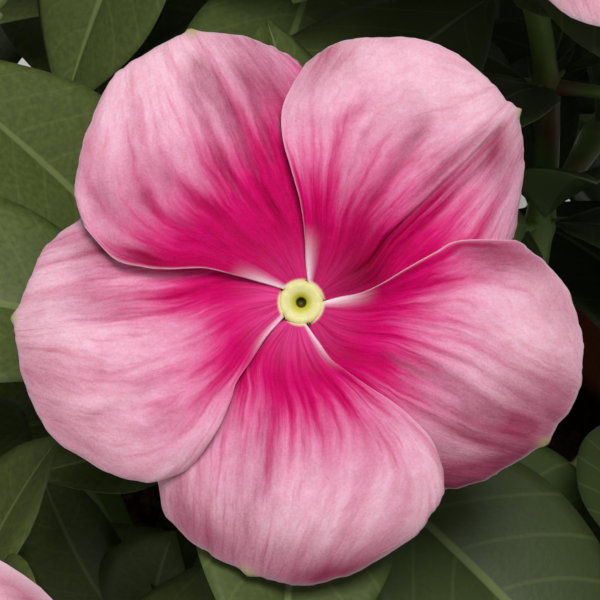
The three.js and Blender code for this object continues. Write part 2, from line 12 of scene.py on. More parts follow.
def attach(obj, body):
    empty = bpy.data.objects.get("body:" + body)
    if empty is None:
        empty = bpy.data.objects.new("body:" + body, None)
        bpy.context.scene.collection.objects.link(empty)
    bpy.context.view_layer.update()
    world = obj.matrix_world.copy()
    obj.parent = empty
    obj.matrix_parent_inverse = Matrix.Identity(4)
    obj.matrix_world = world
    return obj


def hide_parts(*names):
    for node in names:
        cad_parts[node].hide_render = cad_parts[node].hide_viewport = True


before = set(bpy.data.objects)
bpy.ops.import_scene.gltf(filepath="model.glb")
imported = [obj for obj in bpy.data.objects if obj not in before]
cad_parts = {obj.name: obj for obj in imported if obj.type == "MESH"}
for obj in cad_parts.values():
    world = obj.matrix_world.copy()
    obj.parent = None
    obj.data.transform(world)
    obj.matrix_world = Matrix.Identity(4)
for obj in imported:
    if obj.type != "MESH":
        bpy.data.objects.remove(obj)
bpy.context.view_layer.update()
mm = 0.001
up = Vector((0, 0, 1))

# The plant's plan, the same as in the solids: each stem's foot and its two shoots, which end at blooms.
# at: bloom centre; bearing and slope: where it faces; spin: turn about its own axis; cup: rise of the
# petal ends; hand: side that the shoot's tip leans to; bud: it also has a closed bud.
shootFacts = ("at", "bearing", "slope", "size", "spin", "cup", "hand", "bud")
stems = [
    {"foot": (-1, -19), "shoots": [
        ((0, -60, 245), 0, 50, 1, 0, 0, 1, False),
        ((-44.3, -85.8, 210.6), -20, 38, 0.97, 130, -1.6, -1, False)]},
    {"foot": (20, -11), "shoots": [
        ((26.6, -8.4, 261.5), 36, 60, 0.95, 72, 1.8, -1, True),
        ((60, -88, 201), 34, 28, 0.93, 200, 0.6, 1, True)]},
    {"foot": (25, 9), "shoots": [
        ((101, -33, 205), 74, 34, 0.98, 300, -1.2, -1, True),
        ((100, 40, 183), 112, 22, 0.9, 75, 1.4, 1, False)]},
    {"foot": (11, 24), "shoots": [
        ((60, 52, 242), 128, 50, 1, 160, 0.4, 1, False),
        ((32, 105, 190), 164, 26, 0.94, 20, -1.8, -1, True)]},
    {"foot": (-9, 23), "shoots": [
        ((-8, 34, 270), 190, 74, 0.97, 250, 1.2, 1, True),
        ((-40, 104, 184), 202, 24, 0.92, 110, 0.8, 1, False)]},
    {"foot": (-24, 8), "shoots": [
        ((-68, 50, 236), 232, 46, 0.95, 330, -0.8, -1, False),
        ((-101, 33, 178), 250, 20, 0.96, 60, 1.6, 1, False)]},
    {"foot": (-19, -12), "shoots": [
        ((-61, -13, 249), 298, 54, 0.93, 215, 0.9, 1, False),
        ((-103, -42, 196), 286, 32, 0.99, 15, -1.4, 1, False)]},
]
for plan in stems:
    plan["shoots"] = [dict(zip(shootFacts, row)) for row in plan["shoots"]]

# The five petals of a bloom from the front, eye at (0, 0): the free edge that lies on the next petal,
# the outer edge from the free corner to the covered one, and the covered edge. Shares across run from
# the covered edge (0) to the free one (1), shares along from the eye (0) to the outer edge (1).
# tip: where across the small point sits. glow: how pale it runs into the eye, partly real paler streaks and
# partly a painted highlight. star: how far the dark
# star reaches, and roll: how far the outer end rolls back, both in mm at five even steps across.
# arch: crown of the petal; flare and dip: how its free edge stands up and how it hollows just inside.
# shadePatches: patches of painted mauve shade (across, along, spread across, spread along, strength).
# folds: (across at the eye, across at the end, first share along, last share along, depth).
petals = [
    {"over": [(-1.6, 1.2), (-3.6, 1.8), (-6.1, 2.5), (-8.8, 3.1), (-12, 3), (-14.3, 3.2), (-17, 4),
              (-19.7, 6.9)],
     "end": [(-19.7, 6.9), (-20.7, 10.2), (-19.9, 14.6), (-17.7, 20.1), (-14.6, 22.6), (-10.1, 24.8),
             (-4.7, 24.3), (-1.4, 22.9), (0.2, 21.6)],
     "under": [(0.2, 2), (0.2, 4.9), (1.2, 9.4), (1.8, 14), (1.5, 18.4), (0.2, 21.6)], "tip": 0.375,
     "glow": 0.4, "star": [17.5, 14, 11, 12, 12.6], "roll": [0.3, 0.5, 0.9, 0.6, 0.2],
     "arch": 0.7, "flare": 0.4, "dip": 0.7,
     "shadePatches": [(0.25, 0.82, 0.1, 0.2, 0.6), (0.95, 0.7, 0.06, 0.16, 0.85), (0.84, 0.87, 0.07, 0.08, 0.3),
              (0.52, 0.52, 0.1, 0.12, 0.2), (0.7, 0.5, 0.13, 0.15, 0.3), (0.73, 0.74, 0.09, 0.1, 0.3)],
     "folds": [(0.37, 0.4, 0.14, 0.97, 0.34), (0.54, 0.42, 0.3, 0.94, 0.24), (0.27, 0.33, 0.35, 0.95, 0.24),
               (0.62, 0.69, 0.2, 0.8, 0.14), (0.78, 0.75, 0.35, 0.85, 0.13), (0.46, 0.39, 0.5, 0.95, 0.18)]},
    {"over": [(0.6, 1.9), (0.4, 3.7), (0.3, 6.2), (-0.1, 9.1), (-0.9, 12), (-1.7, 15), (-1.6, 18),
              (0.3, 21.7)],
     "end": [(0.3, 21.7), (2.8, 23.5), (6.3, 24.2), (11.3, 24), (15.9, 21.7), (18.6, 18.9), (19.9, 17.4),
             (20.5, 12.6), (19.6, 6)],
     "under": [(1.9, 0.5), (4.2, 0.4), (7.2, -0.6), (10.9, 0.6), (14.7, 2.3), (17.7, 4), (19.6, 6)],
     "tip": 0.25,
     "glow": 0.3, "star": [12.6, 13, 9.8, 9, 9.4], "roll": [1.2, 1.6, 0.9, 0.5, 0.4],
     "arch": 0.7, "flare": 0.3, "dip": 0,
     "shadePatches": [(0.21, 0.87, 0.07, 0.1, 0.7), (0.88, 0.94, 0.12, 0.12, 0.55), (0.38, 0.22, 0.3, 0.2, 0.8),
              (0.4, 0.62, 0.06, 0.16, 0.15), (0.6, 0.42, 0.14, 0.14, 0.3), (0.56, 0.74, 0.1, 0.1, 0.22)],
     "folds": [(0.47, 0.27, 0.12, 0.97, 0.38), (0.62, 0.49, 0.35, 0.86, 0.24), (0.21, 0.25, 0.35, 0.96, 0.26),
               (0.54, 0.31, 0.45, 0.97, 0.25), (0.36, 0.26, 0.3, 0.97, 0.27), (0.75, 0.62, 0.42, 0.75, 0.12),
               (0.61, 0.33, 0.6, 0.96, 0.18)]},
    {"over": [(2, 0.1), (3.4, 0.5), (5.4, 0.9), (7.2, 1.7), (9.5, 3.1), (12, 4.5), (14.3, 5.6), (19.5, 5.7)],
     "end": [(19.5, 5.7), (22, 3.9), (24.2, 1.4), (25.5, -2.2), (25.8, -5.4), (25.2, -8.7), (22.3, -12.8),
             (19, -15.1), (15.9, -16.7), (13, -17.3)],
     "under": [(1.1, -1.7), (1.5, -3.9), (1.7, -6.3), (3.6, -9.1), (6, -12.2), (9, -15.3), (13, -17.3)],
     "tip": 0.333,
     "glow": 0.5, "star": [8.6, 9, 8, 8.8, 12.4], "roll": [2.4, 2.6, 1.3, 0.5, 0.7],
     "arch": 0.5, "flare": 1.0, "dip": 0,
     "shadePatches": [(0.32, 0.97, 0.2, 0.08, 0.85), (0.1, 0.94, 0.13, 0.18, 1), (0.92, 0.92, 0.11, 0.12, 0.9),
              (0.72, 0.98, 0.1, 0.06, 0.45), (0.46, 0.87, 0.08, 0.1, 0.5), (0.28, 0.78, 0.08, 0.1, 0.3)],
     "folds": [(0.43, 0.35, 0.3, 0.98, 0.32), (0.51, 0.36, 0.35, 0.98, 0.25), (0.31, 0.33, 0.4, 0.98, 0.26),
               (0.2, 0.31, 0.5, 0.97, 0.24), (0.6, 0.4, 0.42, 0.95, 0.14), (0.1, 0.29, 0.7, 0.97, 0.16)]},
    {"over": [(0.5, -2), (1.7, -3.7), (2.8, -5.2), (4.5, -6.5), (6.1, -7.6), (8.3, -9), (10.1, -10.5),
              (11.8, -12.4), (12.8, -14.6)],
     "end": [(12.8, -14.6), (13, -17), (12, -19.2), (9.9, -21.7), (4.5, -24.9), (-0.5, -25.9), (-4.9, -24.8),
             (-9.2, -22.6), (-12.4, -19.6), (-13.2, -16.4)],
     "under": [(-1, -1.8), (-3.2, -3.2), (-5.8, -4.1), (-7.6, -6.6), (-9.4, -9.4), (-11.4, -12.6),
               (-13.2, -16.4)],
     "tip": 0.333,
     "glow": 1.0, "star": [7.4, 8.2, 7.6, 8, 7], "roll": [1.6, 1.2, 1.8, 1.4, 0.5],
     "arch": 0.5, "flare": 0.1, "dip": 0,
     "shadePatches": [(0.52, 0.98, 0.12, 0.07, 1), (0.25, 0.95, 0.16, 0.08, 0.75), (0.12, 0.9, 0.1, 0.12, 0.3),
              (0.42, 0.88, 0.1, 0.06, 0.3)],
     "folds": [(0.33, 0.32, 0.25, 0.97, 0.2), (0.25, 0.3, 0.45, 0.93, 0.12), (0.42, 0.35, 0.3, 0.9, 0.12),
               (0.52, 0.46, 0.3, 0.75, 0.1), (0.17, 0.26, 0.5, 0.93, 0.1), (0.66, 0.58, 0.35, 0.7, 0.08)]},
    {"over": [(-1.7, -1.5), (-3.2, -3.2), (-4.5, -5.2), (-5.8, -7.1), (-6.3, -8.6), (-7.2, -10.8),
              (-8.3, -12.7), (-9.6, -14.5)],
     "end": [(-9.6, -14.5), (-11.1, -15.6), (-14, -16.4), (-17.5, -15.6), (-22.4, -12.6), (-24.6, -9.4),
             (-26.1, -4.5), (-26.2, -1.4), (-24.6, 3), (-23.1, 5.6), (-20, 8)],
     "under": [(-1.9, 0.8), (-4.1, 2.1), (-6.5, 4.4), (-10.2, 5.4), (-13.8, 6.3), (-17, 7.3), (-20, 8)],
     "tip": 0.3,
     "glow": 1.0, "star": [9.4, 9.6, 7.2, 7.4, 5.4], "roll": [0.6, 0.5, 0.5, 0.7, 0.7],
     "arch": 0.6, "flare": 0.1, "dip": 0,
     "shadePatches": [(0.09, 0.75, 0.08, 0.14, 0.95), (0.64, 0.95, 0.12, 0.06, 0.3), (0.5, 0.94, 0.18, 0.08, 0.35)],
     "folds": [(0.3, 0.3, 0.2, 0.9, 0.13), (0.41, 0.32, 0.3, 0.85, 0.12), (0.24, 0.27, 0.4, 0.93, 0.11),
               (0.66, 0.58, 0.5, 0.95, 0.15), (0.75, 0.68, 0.5, 0.9, 0.1), (0.16, 0.22, 0.45, 0.9, 0.1)]},
]


# Small tools

def hexColour(code):
    # An sRGB hex value as the linear colour that shaders take.
    channels = [int(code[i:i + 2], 16) / 255 for i in (1, 3, 5)]
    return tuple(c / 12.92 if c <= 0.04045 else ((c + 0.055) / 1.055) ** 2.4 for c in channels) + (1.0,)


def giveInputs(node, inputs):
    # Inputs go by name or number, or in order as a list. Each is a number, a hex colour, a node (its
    # first output) or a pair of a node and an output.
    for key, value in enumerate(inputs) if isinstance(inputs, list) else inputs.items():
        socket = node.inputs[key]
        if isinstance(value, bpy.types.Node):
            node.id_data.links.new(value.outputs[0], socket)
        elif isinstance(value, tuple) and isinstance(value[0], bpy.types.Node):
            node.id_data.links.new(value[0].outputs[value[1]], socket)
        else:
            socket.default_value = hexColour(value) if isinstance(value, str) else value


def addNode(tree, kind, inputs=(), **settings):
    node = tree.nodes.new(kind if "Node" in kind else "ShaderNode" + kind)
    for name, value in settings.items():
        setattr(node, name, value)
    giveInputs(node, inputs or {})
    return node


def newFinish(name, **constants):
    # A material with one Principled shader, whose plain sockets are the constants, and what adds its nodes.
    material = bpy.data.materials.new(name)
    material.use_nodes = True
    shader = material.node_tree.nodes["Principled BSDF"]
    for key, value in constants.items():
        shader.inputs[key.replace("_", " ")].default_value = value
    return material, shader, partial(addNode, material.node_tree)


def layColours(add, colour, layers):
    # Lays colours over a first one in turn, each with its share and way of blending.
    for share, over, way in layers:
        colour = (add("Mix", {0: share, 6: colour, 7: over}, data_type="RGBA", blend_type=way), 2)
    return colour


def dressShader(add, shader, colour, height=None, strength=0, depth=0):
    # Gives a shader its colour, and a bump from a height whose depth is in mm.
    giveInputs(shader, {"Base Color": colour})
    if height is not None:
        bump = add("Bump", {"Strength": strength, "Distance": depth * mm, "Height": height})
        giveInputs(shader, {"Normal": bump})


def softStep(low, high, value):
    share = np.clip((value - low) / (high - low), 0, 1)
    return share * share * (3 - 2 * share)


def hump(value, width):
    # 1 at the middle, falling off softly to both sides.
    return np.exp(-(value / width) ** 2)


def waveNoise(x, seed):
    # Smooth noise from -1 to 1 along one line.
    table = np.random.RandomState(seed).uniform(-1, 1, 256)
    cell = np.floor(x).astype(int)
    return table[cell % 256] + (table[(cell + 1) % 256] - table[cell % 256]) * softStep(0, 1, x - cell)


def fieldNoise(x, y, seed):
    # Smooth noise from -1 to 1 over a plane.
    table = np.random.RandomState(seed).uniform(-1, 1, (64, 64))
    i, j = np.floor(x).astype(int), np.floor(y).astype(int)
    u, v = softStep(0, 1, x - i), softStep(0, 1, y - j)
    i, j = i % 64, j % 64
    near = table[i, j] * (1 - u) + table[(i + 1) % 64, j] * u
    far = table[i, (j + 1) % 64] * (1 - u) + table[(i + 1) % 64, (j + 1) % 64] * u
    return near * (1 - v) + far * v


def mix(a, b, share):
    return a + (b - a) * share


def facing(bearing, slope):
    b, s = math.radians(bearing), math.radians(slope)
    return Vector((math.cos(s) * math.sin(b), -math.cos(s) * math.cos(b), math.sin(s)))


def squareTo(vector, axis):
    return (vector - axis * vector.dot(axis)).normalized()


def drawsFor(seed):
    # The same run of draws that the solids use, so that each leaf is found where it grew.
    state = [(seed * 2654435761) & 0xFFFFFFFF]

    def draw(low, high):
        state[0] = (state[0] * 1664525 + 1013904223) & 0xFFFFFFFF
        return low + (high - low) * state[0] / 4294967296
    return draw


class Shape:
    # Points in millimetres, faces, and what each point or face carries, gathered for one piece.
    def __init__(self):
        self.points, self.faces, self.finishes, self.facts = [], [], [], {}

    def add(self, points, faces, finish=0, **facts):
        start = sum(len(p) for p in self.points)
        points = np.asarray(points, dtype=float).reshape(-1, 3)
        self.points.append(points)
        self.faces.extend(tuple(start + i for i in face) for face in faces)
        self.finishes.extend([finish] * len(faces))
        for name, value in facts.items():
            self.facts.setdefault(name, []).append((start, np.asarray(value, dtype=float)))

    def build(self, name, materials, nodes=()):
        points = np.concatenate(self.points)
        mesh = bpy.data.meshes.new(name)
        mesh.from_pydata(points * mm, [], self.faces)
        mesh.polygons.foreach_set("use_smooth", [True] * len(self.faces))
        mesh.polygons.foreach_set("material_index", self.finishes)
        for fact, runs in self.facts.items():
            kind = "FLOAT_VECTOR" if runs[0][1].ndim == 2 else "FLOAT"
            values = np.zeros((len(points), 3) if kind == "FLOAT_VECTOR" else len(points))
            for start, value in runs:
                values[start:start + len(value)] = value
            layer = mesh.attributes.new(fact, kind, "POINT")
            layer.data.foreach_set("vector" if kind == "FLOAT_VECTOR" else "value", values.ravel())
        for material in materials:
            mesh.materials.append(material)
        mesh.validate()
        return settle(bpy.data.objects.new(name, mesh), nodes)


def settle(piece, nodes=()):
    # Puts a finished piece in the scene, on the body, and hides the nodes it stands for.
    bpy.context.scene.collection.objects.link(piece)
    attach(piece, "root")
    if nodes:
        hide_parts(*nodes)
    return piece


def ringPoints(radius, height, sides):
    turns = [2 * math.pi * i / sides for i in range(sides)]
    return [(radius * math.cos(turn), radius * math.sin(turn), height) for turn in turns]


def gridFaces(rows, columns, closed=False):
    # Quads over rows of points, closed round into a tube if asked.
    width = columns if closed else columns + 1
    faces = []
    for j in range(rows):
        for i in range(columns):
            k = (i + 1) % width
            faces.append((j * width + i, j * width + k, (j + 1) * width + k, (j + 1) * width + i))
    return faces


def sheetFaces(rows, columns):
    # Two layers of the same grid, the first facing up and the second down, joined round their border.
    width, count = columns + 1, (rows + 1) * (columns + 1)
    grid = gridFaces(rows, columns)
    faces = [face[::-1] for face in grid] + [tuple(count + i for i in face) for face in grid]
    border = list(range(width)) + [j * width + columns for j in range(1, rows + 1)]
    border += [rows * width + i for i in range(columns - 1, -1, -1)]
    border += [j * width for j in range(rows - 1, 0, -1)]
    for here, there in zip(border, border[1:] + border[:1]):
        faces.append((here, there, count + there, count + here))
    return faces


def closeRings(points, sides, ends):
    # A skin over rings of points, with a centre point at both ends so that it is closed.
    rings = len(points) // sides
    faces = gridFaces(rings - 1, sides, closed=True)
    first, last, tail = len(points), len(points) + 1, (rings - 1) * sides
    for i in range(sides):
        k = (i + 1) % sides
        faces += [(k, i, first), (tail + i, tail + k, last)]
    return points + list(ends), faces


def closedTube(centres, axes, radii, sides, start):
    # A closed tube round a line; radii may be one number a ring or one a point.
    points = []
    for centre, axis, radius in zip(centres, axes, radii):
        right = squareTo(start, axis)
        ahead = axis.cross(right)
        for i, reach in enumerate(np.broadcast_to(radius, (sides,))):
            turn = 2 * math.pi * i / sides
            points.append(centre + (right * math.cos(turn) + ahead * math.sin(turn)) * float(reach))
    return closeRings(points, sides, (centres[0], centres[-1]))


def evaluated(holder, tree, values):
    # Runs a Geometry Nodes tree on an object and gives the result as a plain mesh.
    bpy.context.scene.collection.objects.link(holder)
    modifier = holder.modifiers.new("nodes", "NODES")
    modifier.node_group = tree
    for item in tree.interface.items_tree:
        if item.in_out == "INPUT" and item.name in values:
            modifier[item.identifier] = values[item.name]
    graph = bpy.context.evaluated_depsgraph_get()
    mesh = bpy.data.meshes.new_from_object(holder.evaluated_get(graph))
    holder.modifiers.remove(modifier)
    bpy.data.objects.remove(holder)
    return mesh


def newGeometryTree(name, **inputs):
    # A Geometry Nodes tree with named inputs, what adds its nodes, and the node that gives the inputs.
    tree = bpy.data.node_groups.new(name, "GeometryNodeTree")
    for label, kind in {"Geometry": "Geometry", **inputs, "Seed": "Int", "Finish": "Material"}.items():
        tree.interface.new_socket(label, in_out="INPUT", socket_type=f"NodeSocket{kind}")
    tree.interface.new_socket("Geometry", in_out="OUTPUT", socket_type="NodeSocketGeometry")
    return tree, partial(addNode, tree), addNode(tree, "NodeGroupInput")


# Finishes

def makePetalFinish():
    # Living petal: matt and faintly velvety. A deep magenta star frays through rose into pale pink
    # along the veins, over a fine crinkle of cells. vein carries (line across, reach in mm, seed) and
    # place (across, along, underside); past is the distance in mm from the star's edge, crease the
    # depth of the folds, shadePatches the patches of painted mauve shade, glow how pale the petal runs
    # into the eye, partly a painted highlight, and rim a painted highlight along the edges.
    look = {"fineFray": 6.5, "broadFray": 8.5, "starDepth": 4.0, "fade": 14.0, "grain": 0.22, "mottle": 3.4,
            "sway": 0.035}
    streaks = {  # waves across a petal, waves a mm along it, step between petals, and the noise's own sockets
        "fine": ((34.0, 0.15, 7.3), {"Detail": 3.0, "Roughness": 0.6}),
        "broad": ((12.0, 0.07, 3.1), {"Detail": 2.0, "Roughness": 0.5}),
        "crinkle": ((56.0, 0.8, 5.1), {"Detail": 4.0, "Roughness": 0.6, "Distortion": 0.6})}
    steps = [(0.0, "#bd0057"), (0.17, "#cb0060"), (0.25, "#d20f6a"), (0.33, "#d8387d"), (0.43, "#df6697"),
             (0.55, "#e589ad"), (0.68, "#e9a0bb"), (0.84, "#eeb1c6"), (1.0, "#f1bccd")]
    material, shader, add = newFinish("velvetyPetal", Roughness=0.62, Specular_IOR_Level=0.06)
    vein, place, past, crease, shadePatches, glow, rim, point = [
        add("Attribute", attribute_name=name)
        for name in ("vein", "place", "past", "crease", "shadePatches", "glow", "rim", "point")]
    veinParts = add("SeparateXYZ", {0: (vein, "Vector")})
    placeParts = add("SeparateXYZ", {0: (place, "Vector")})
    reach, across = (veinParts, 1), (placeParts, 0)
    body = add("TexCoord")
    sway = add("TexNoise", {"Vector": (body, "Object"), "Scale": 0.3 / mm, "Detail": 2.0})
    swayed = add("VectorMath", {0: (sway, 1), 1: (look["sway"], 0.0, 0.0), 2: (vein, "Vector")},
                 operation="MULTIPLY_ADD")
    noises = []
    for scale, sockets in streaks.values():
        spread = add("Mapping", {"Vector": swayed, "Scale": scale})
        noises.append(add("TexNoise", {"Vector": spread, "Scale": 1.0, **sockets}))
    fine, broad, crinkle = noises
    grain = add("TexNoise", {"Vector": (body, "Object"), "Scale": 1 / (look["grain"] * mm), "Detail": 2.0,
                             "Roughness": 0.7})
    mottle = add("TexNoise", {"Vector": (body, "Object"), "Scale": 1 / (look["mottle"] * mm), "Detail": 3.0})

    # Millimetres past the star's frayed edge, turned into the run of colours from star to margin.
    broadPart = add("Math", {0: broad, 1: -look["broadFray"], 2: (past, "Fac")}, operation="MULTIPLY_ADD")
    frayed = add("Math", {0: fine, 1: -look["fineFray"], 2: broadPart}, operation="MULTIPLY_ADD")
    half = (look["fineFray"] + look["broadFray"]) / 2
    run = add("MapRange", [frayed, -look["starDepth"] - half, look["fade"] - half])
    flesh = add("ValToRGB", {0: run})
    for i, (spot, colour) in enumerate(steps):
        stop = flesh.color_ramp.elements[i] if i < 2 else flesh.color_ramp.elements.new(spot)
        stop.position = spot
        stop.color = hexColour(colour)

    # Rose veins and stripes, and painted mauve shade in the folds and in soft patches.
    veinLine = add("MapRange", [fine, 0.55, 0.75, 0, 0.34])
    stripe = add("MapRange", [broad, 0.5, 0.68, 0, 0.34])
    patch = add("MapRange", [mottle, 0.48, 0.72, 0, 0.2])
    creaseShade = add("MapRange", [(crease, "Fac"), 0.03, 0.3, 0, 0.55])
    paintedShade = add("Math", {0: creaseShade, 1: (shadePatches, "Fac")}, operation="ADD", use_clamp=True)

    # Paler streaks by the eye, partly real and partly a painted highlight, a whitish band there along the
    # free edge, and a cream fringe at the throat.
    nearEye = add("MapRange", [reach, 7.5, 2.2], interpolation_type="SMOOTHSTEP")
    freeSide = add("MapRange", [across, 0.78, 1.0, 0, 1.1], interpolation_type="SMOOTHSTEP")
    fringe = add("MapRange", [reach, 2.3, 1.95], interpolation_type="SMOOTHSTEP")
    streakShare = add("MapRange", [fine, 0.62, 0.42, 0.25, 0.8])
    glowStreaks = add("Math", {0: nearEye, 1: streakShare}, operation="MULTIPLY")
    glowShare = add("Math", {0: glowStreaks, 1: (glow, "Fac")}, operation="MULTIPLY")
    rootShare = add("Math", {0: nearEye, 1: freeSide}, operation="MULTIPLY", use_clamp=True)
    back = add("Math", {0: (placeParts, 2), 1: 0.6}, operation="MULTIPLY")
    # Painted light in this mix: painted shade in the folds and patches, a painted highlight on the rim, and
    # partly painted light in the glow by the eye.
    whole = layColours(add, flesh, [(veinLine, "#cf4a82", "MULTIPLY"), (stripe, "#cc6c93", "MULTIPLY"),
                                    (patch, "#c97f9e", "MULTIPLY"), (paintedShade, "#a4607a", "MULTIPLY"),
                                    (0.32, crinkle, "OVERLAY"), (0.3, grain, "OVERLAY"),
                                    (glowShare, "#ea4d96", "MIX"), (rootShare, "#f8dde7", "MIX"),
                                    (fringe, "#ecdfae", "MIX"), ((rim, "Fac"), "#f3cdd8", "MIX"),
                                    ((point, "Fac"), "#a3a65f", "MIX"), (back, "#ecc3d0", "MIX")])
    ripple = add("Math", {0: fine, 1: crinkle}, operation="ADD")
    rough = add("Math", {0: grain, 1: 0.5, 2: ripple}, operation="MULTIPLY_ADD")
    dressShader(add, shader, whole, rough, 0.5, 0.16)
    return material


def makeThroatFinish():
    # Waxy flower throat: a cream cushion round a yellow-green funnel with painted shade in its dark pit, on a
    # tube flushed with rose.
    # ring carries (radius in mm, height in mm, outside) of the throat's profile.
    material, shader, add = newFinish("waxyThroat", Roughness=0.5, Specular_IOR_Level=0.35)
    ring = add("Attribute", attribute_name="ring")
    parts = add("SeparateXYZ", {0: (ring, "Vector")})
    body = add("TexCoord")
    grain = add("TexNoise", {"Vector": (body, "Object"), "Scale": 4.2 / mm, "Detail": 3.0})
    funnel = add("MapRange", [(parts, 0), 1.2, 0.65], interpolation_type="SMOOTHSTEP")
    # Painted shade: the pit is painted dark olive where the tube's opening lies in shade.
    pitShade = add("MapRange", [(parts, 0), 0.54, 0.42])
    below = add("MapRange", [(parts, 1), -0.7, -3.0])
    outside = add("MapRange", [(parts, 2), 0.4, 0.6])
    tubeShare = add("Math", {0: below, 1: outside}, operation="MULTIPLY")
    flush = layColours(add, "#d7b9a8", [(grain, "#b7a77c", "MIX")])
    whole = layColours(add, "#ece3a6", [(grain, "#d8d07f", "MIX"), (funnel, "#cdc53e", "MIX"),
                                        (pitShade, "#4d4009", "MIX"), (tubeShare, flush, "MIX")])
    dressShader(add, shader, whole, grain, 0.3, 0.06)
    return material


# litSideFrom and litSideTo set painted light: the leaves are painted paler towards one side of the plant.
leafLook = {"veinPairs": 9.0, "veinCurve": 0.18, "veinBend": 1.3, "veinWidth": 0.07, "midribWidth": 0.055,
            "litSideFrom": 30, "litSideTo": -40}  # leaves are paler towards this side of the plant, in mm


def makeLeafFinish():
    # Glossy leaf with a waxy cuticle: dark green, pale midrib, side veins that curve to the margin.
    # blade carries (across -1 to 1, share along, seed), back is 1 on the underside.
    material, shader, add = newFinish("waxyLeaf", Roughness=0.5, Specular_IOR_Level=0.22)
    blade = add("Attribute", attribute_name="blade")
    back = add("Attribute", attribute_name="back")
    parts = add("SeparateXYZ", {0: (blade, "Vector")})
    body = add("TexCoord")
    spot = add("SeparateXYZ", {0: (body, "Object")})
    side = add("Math", {0: (parts, 0)}, operation="ABSOLUTE")
    bend = add("Math", {0: side, 1: leafLook["veinBend"]}, operation="POWER")
    shifted = add("Math", {0: bend, 1: -leafLook["veinCurve"], 2: (parts, 1)}, operation="MULTIPLY_ADD")
    count = add("Math", {0: shifted, 1: leafLook["veinPairs"]}, operation="MULTIPLY")
    swing = add("Math", {0: count, 1: 0.5}, operation="PINGPONG")
    sideVeins = add("MapRange", [swing, leafLook["veinWidth"], 0.02, 0, 0.12],
                    interpolation_type="SMOOTHSTEP")
    midrib = add("MapRange", [side, leafLook["midribWidth"], 0.02, 0, 0.6], interpolation_type="SMOOTHSTEP")
    veins = add("Math", {0: sideVeins, 1: midrib}, operation="MAXIMUM")
    mottle = add("TexNoise", {"Vector": (body, "Object"), "Scale": 0.16 / mm, "Detail": 4.0})
    cells = add("TexNoise", {"Vector": (body, "Object"), "Scale": 1.6 / mm, "Detail": 3.0})
    # Painted light: leaves paler towards -X, darker towards +X.
    litSide = add("MapRange", [(spot, 0), leafLook["litSideFrom"] * mm, leafLook["litSideTo"] * mm, 0, 0.8])
    backShare = add("Math", {0: (back, "Fac"), 1: 0.6}, operation="MULTIPLY")
    whole = layColours(add, "#273318", [(mottle, "#425027", "MIX"), (litSide, "#75823f", "MIX"),
                                        (cells, "#3a4726", "MIX"), (veins, "#7f8d56", "MIX"),
                                        (backShare, "#7d9460", "MIX")])
    ripple = add("Math", {0: veins, 1: -1.2, 2: cells}, operation="MULTIPLY_ADD")
    dressShader(add, shader, whole, ripple, 0.3, 0.15)
    return material


def makeStemFinish():
    # Smooth herbaceous stem: yellow-green, flushed with wine red in patches.
    material, shader, add = newFinish("herbaceousStem", Roughness=0.45, Specular_IOR_Level=0.4)
    body = add("TexCoord")
    flush = add("TexNoise", {"Vector": (body, "Object"), "Scale": 0.09 / mm, "Detail": 2.0})
    grain = add("TexNoise", {"Vector": (body, "Object"), "Scale": 1.8 / mm, "Detail": 2.0})
    share = add("MapRange", [flush, 0.42, 0.65, 0, 0.75])
    whole = layColours(add, "#77914a", [(share, "#7c4548", "MIX"), (0.25, (grain, 1), "SOFT_LIGHT")])
    dressShader(add, shader, whole, grain, 0.2, 0.1)
    return material


def makeBudFinish():
    # Furled petals of a closed bud: green-white tube, rose point with darker spiral seams.
    # bud carries (share along, spiral turn, seed).
    material, shader, add = newFinish("furledBud", Roughness=0.5, Specular_IOR_Level=0.35, Sheen_Weight=0.1)
    bud = add("Attribute", attribute_name="bud")
    parts = add("SeparateXYZ", {0: (bud, "Vector")})
    body = add("TexCoord")
    grain = add("TexNoise", {"Vector": (body, "Object"), "Scale": 1.4 / mm, "Detail": 3.0})
    point = add("MapRange", [(parts, 0), 0.4, 0.62], interpolation_type="SMOOTHSTEP")
    seam = add("MapRange", [(parts, 1), 0.3, 0.05, 0, 0.7])
    rose = layColours(add, "#d9769f", [(grain, "#b8336f", "MIX"), (seam, "#8c1c55", "MIX")])
    dressShader(add, shader, layColours(add, "#b9c08a", [(grain, "#c9a79a", "MIX"), (point, rose, "MIX")]))
    return material


def makeClayFinish():
    # Fired, unglazed terracotta: dry and porous, with faint throwing lines and pale lime bloom.
    material, shader, add = newFinish("terracotta", Roughness=0.9, Specular_IOR_Level=0.25)
    body = add("TexCoord")
    parts = add("SeparateXYZ", {0: (body, "Object")})
    grain = add("TexNoise", {"Vector": (body, "Object"), "Scale": 1.1 / mm, "Detail": 4.0, "Roughness": 0.7})
    cloud = add("TexNoise", {"Vector": (body, "Object"), "Scale": 0.03 / mm, "Detail": 4.0})
    squashed = add("Mapping", {"Vector": (body, "Object"), "Scale": (6.0, 6.0, 0.42 / mm)})
    lines = add("TexNoise", {"Vector": squashed, "Scale": 1.0, "Detail": 3.0})
    low = add("MapRange", [(parts, 2), 45 * mm, 0.0, 0, 0.55])
    limeSpots = add("MapRange", [cloud, 0.45, 0.7, 0.1])
    limeShare = add("Math", {0: low, 1: limeSpots}, operation="MULTIPLY")
    whole = layColours(add, "#a9583a", [(cloud, "#c67a50", "MIX"), (grain, "#b5683f", "MIX"),
                                        (limeShare, "#d8c3ad", "MIX")])
    height = add("Math", {0: lines, 1: 1.5, 2: grain}, operation="MULTIPLY_ADD")
    dressShader(add, shader, whole, height, 0.45, 0.35)
    return material


def makeSoilFinish(name, dark, light, scale):
    # Moist potting mix: crumbs of peat and bark, or dull white perlite with other colours.
    material, shader, add = newFinish(name, Roughness=0.95, Specular_IOR_Level=0.2)
    body = add("TexCoord")
    grain = add("TexNoise", {"Vector": (body, "Object"), "Scale": scale / mm, "Detail": 5.0,
                             "Roughness": 0.7})
    dressShader(add, shader, layColours(add, dark, [(grain, light, "MIX")]), grain, 0.6, 0.5)
    return material


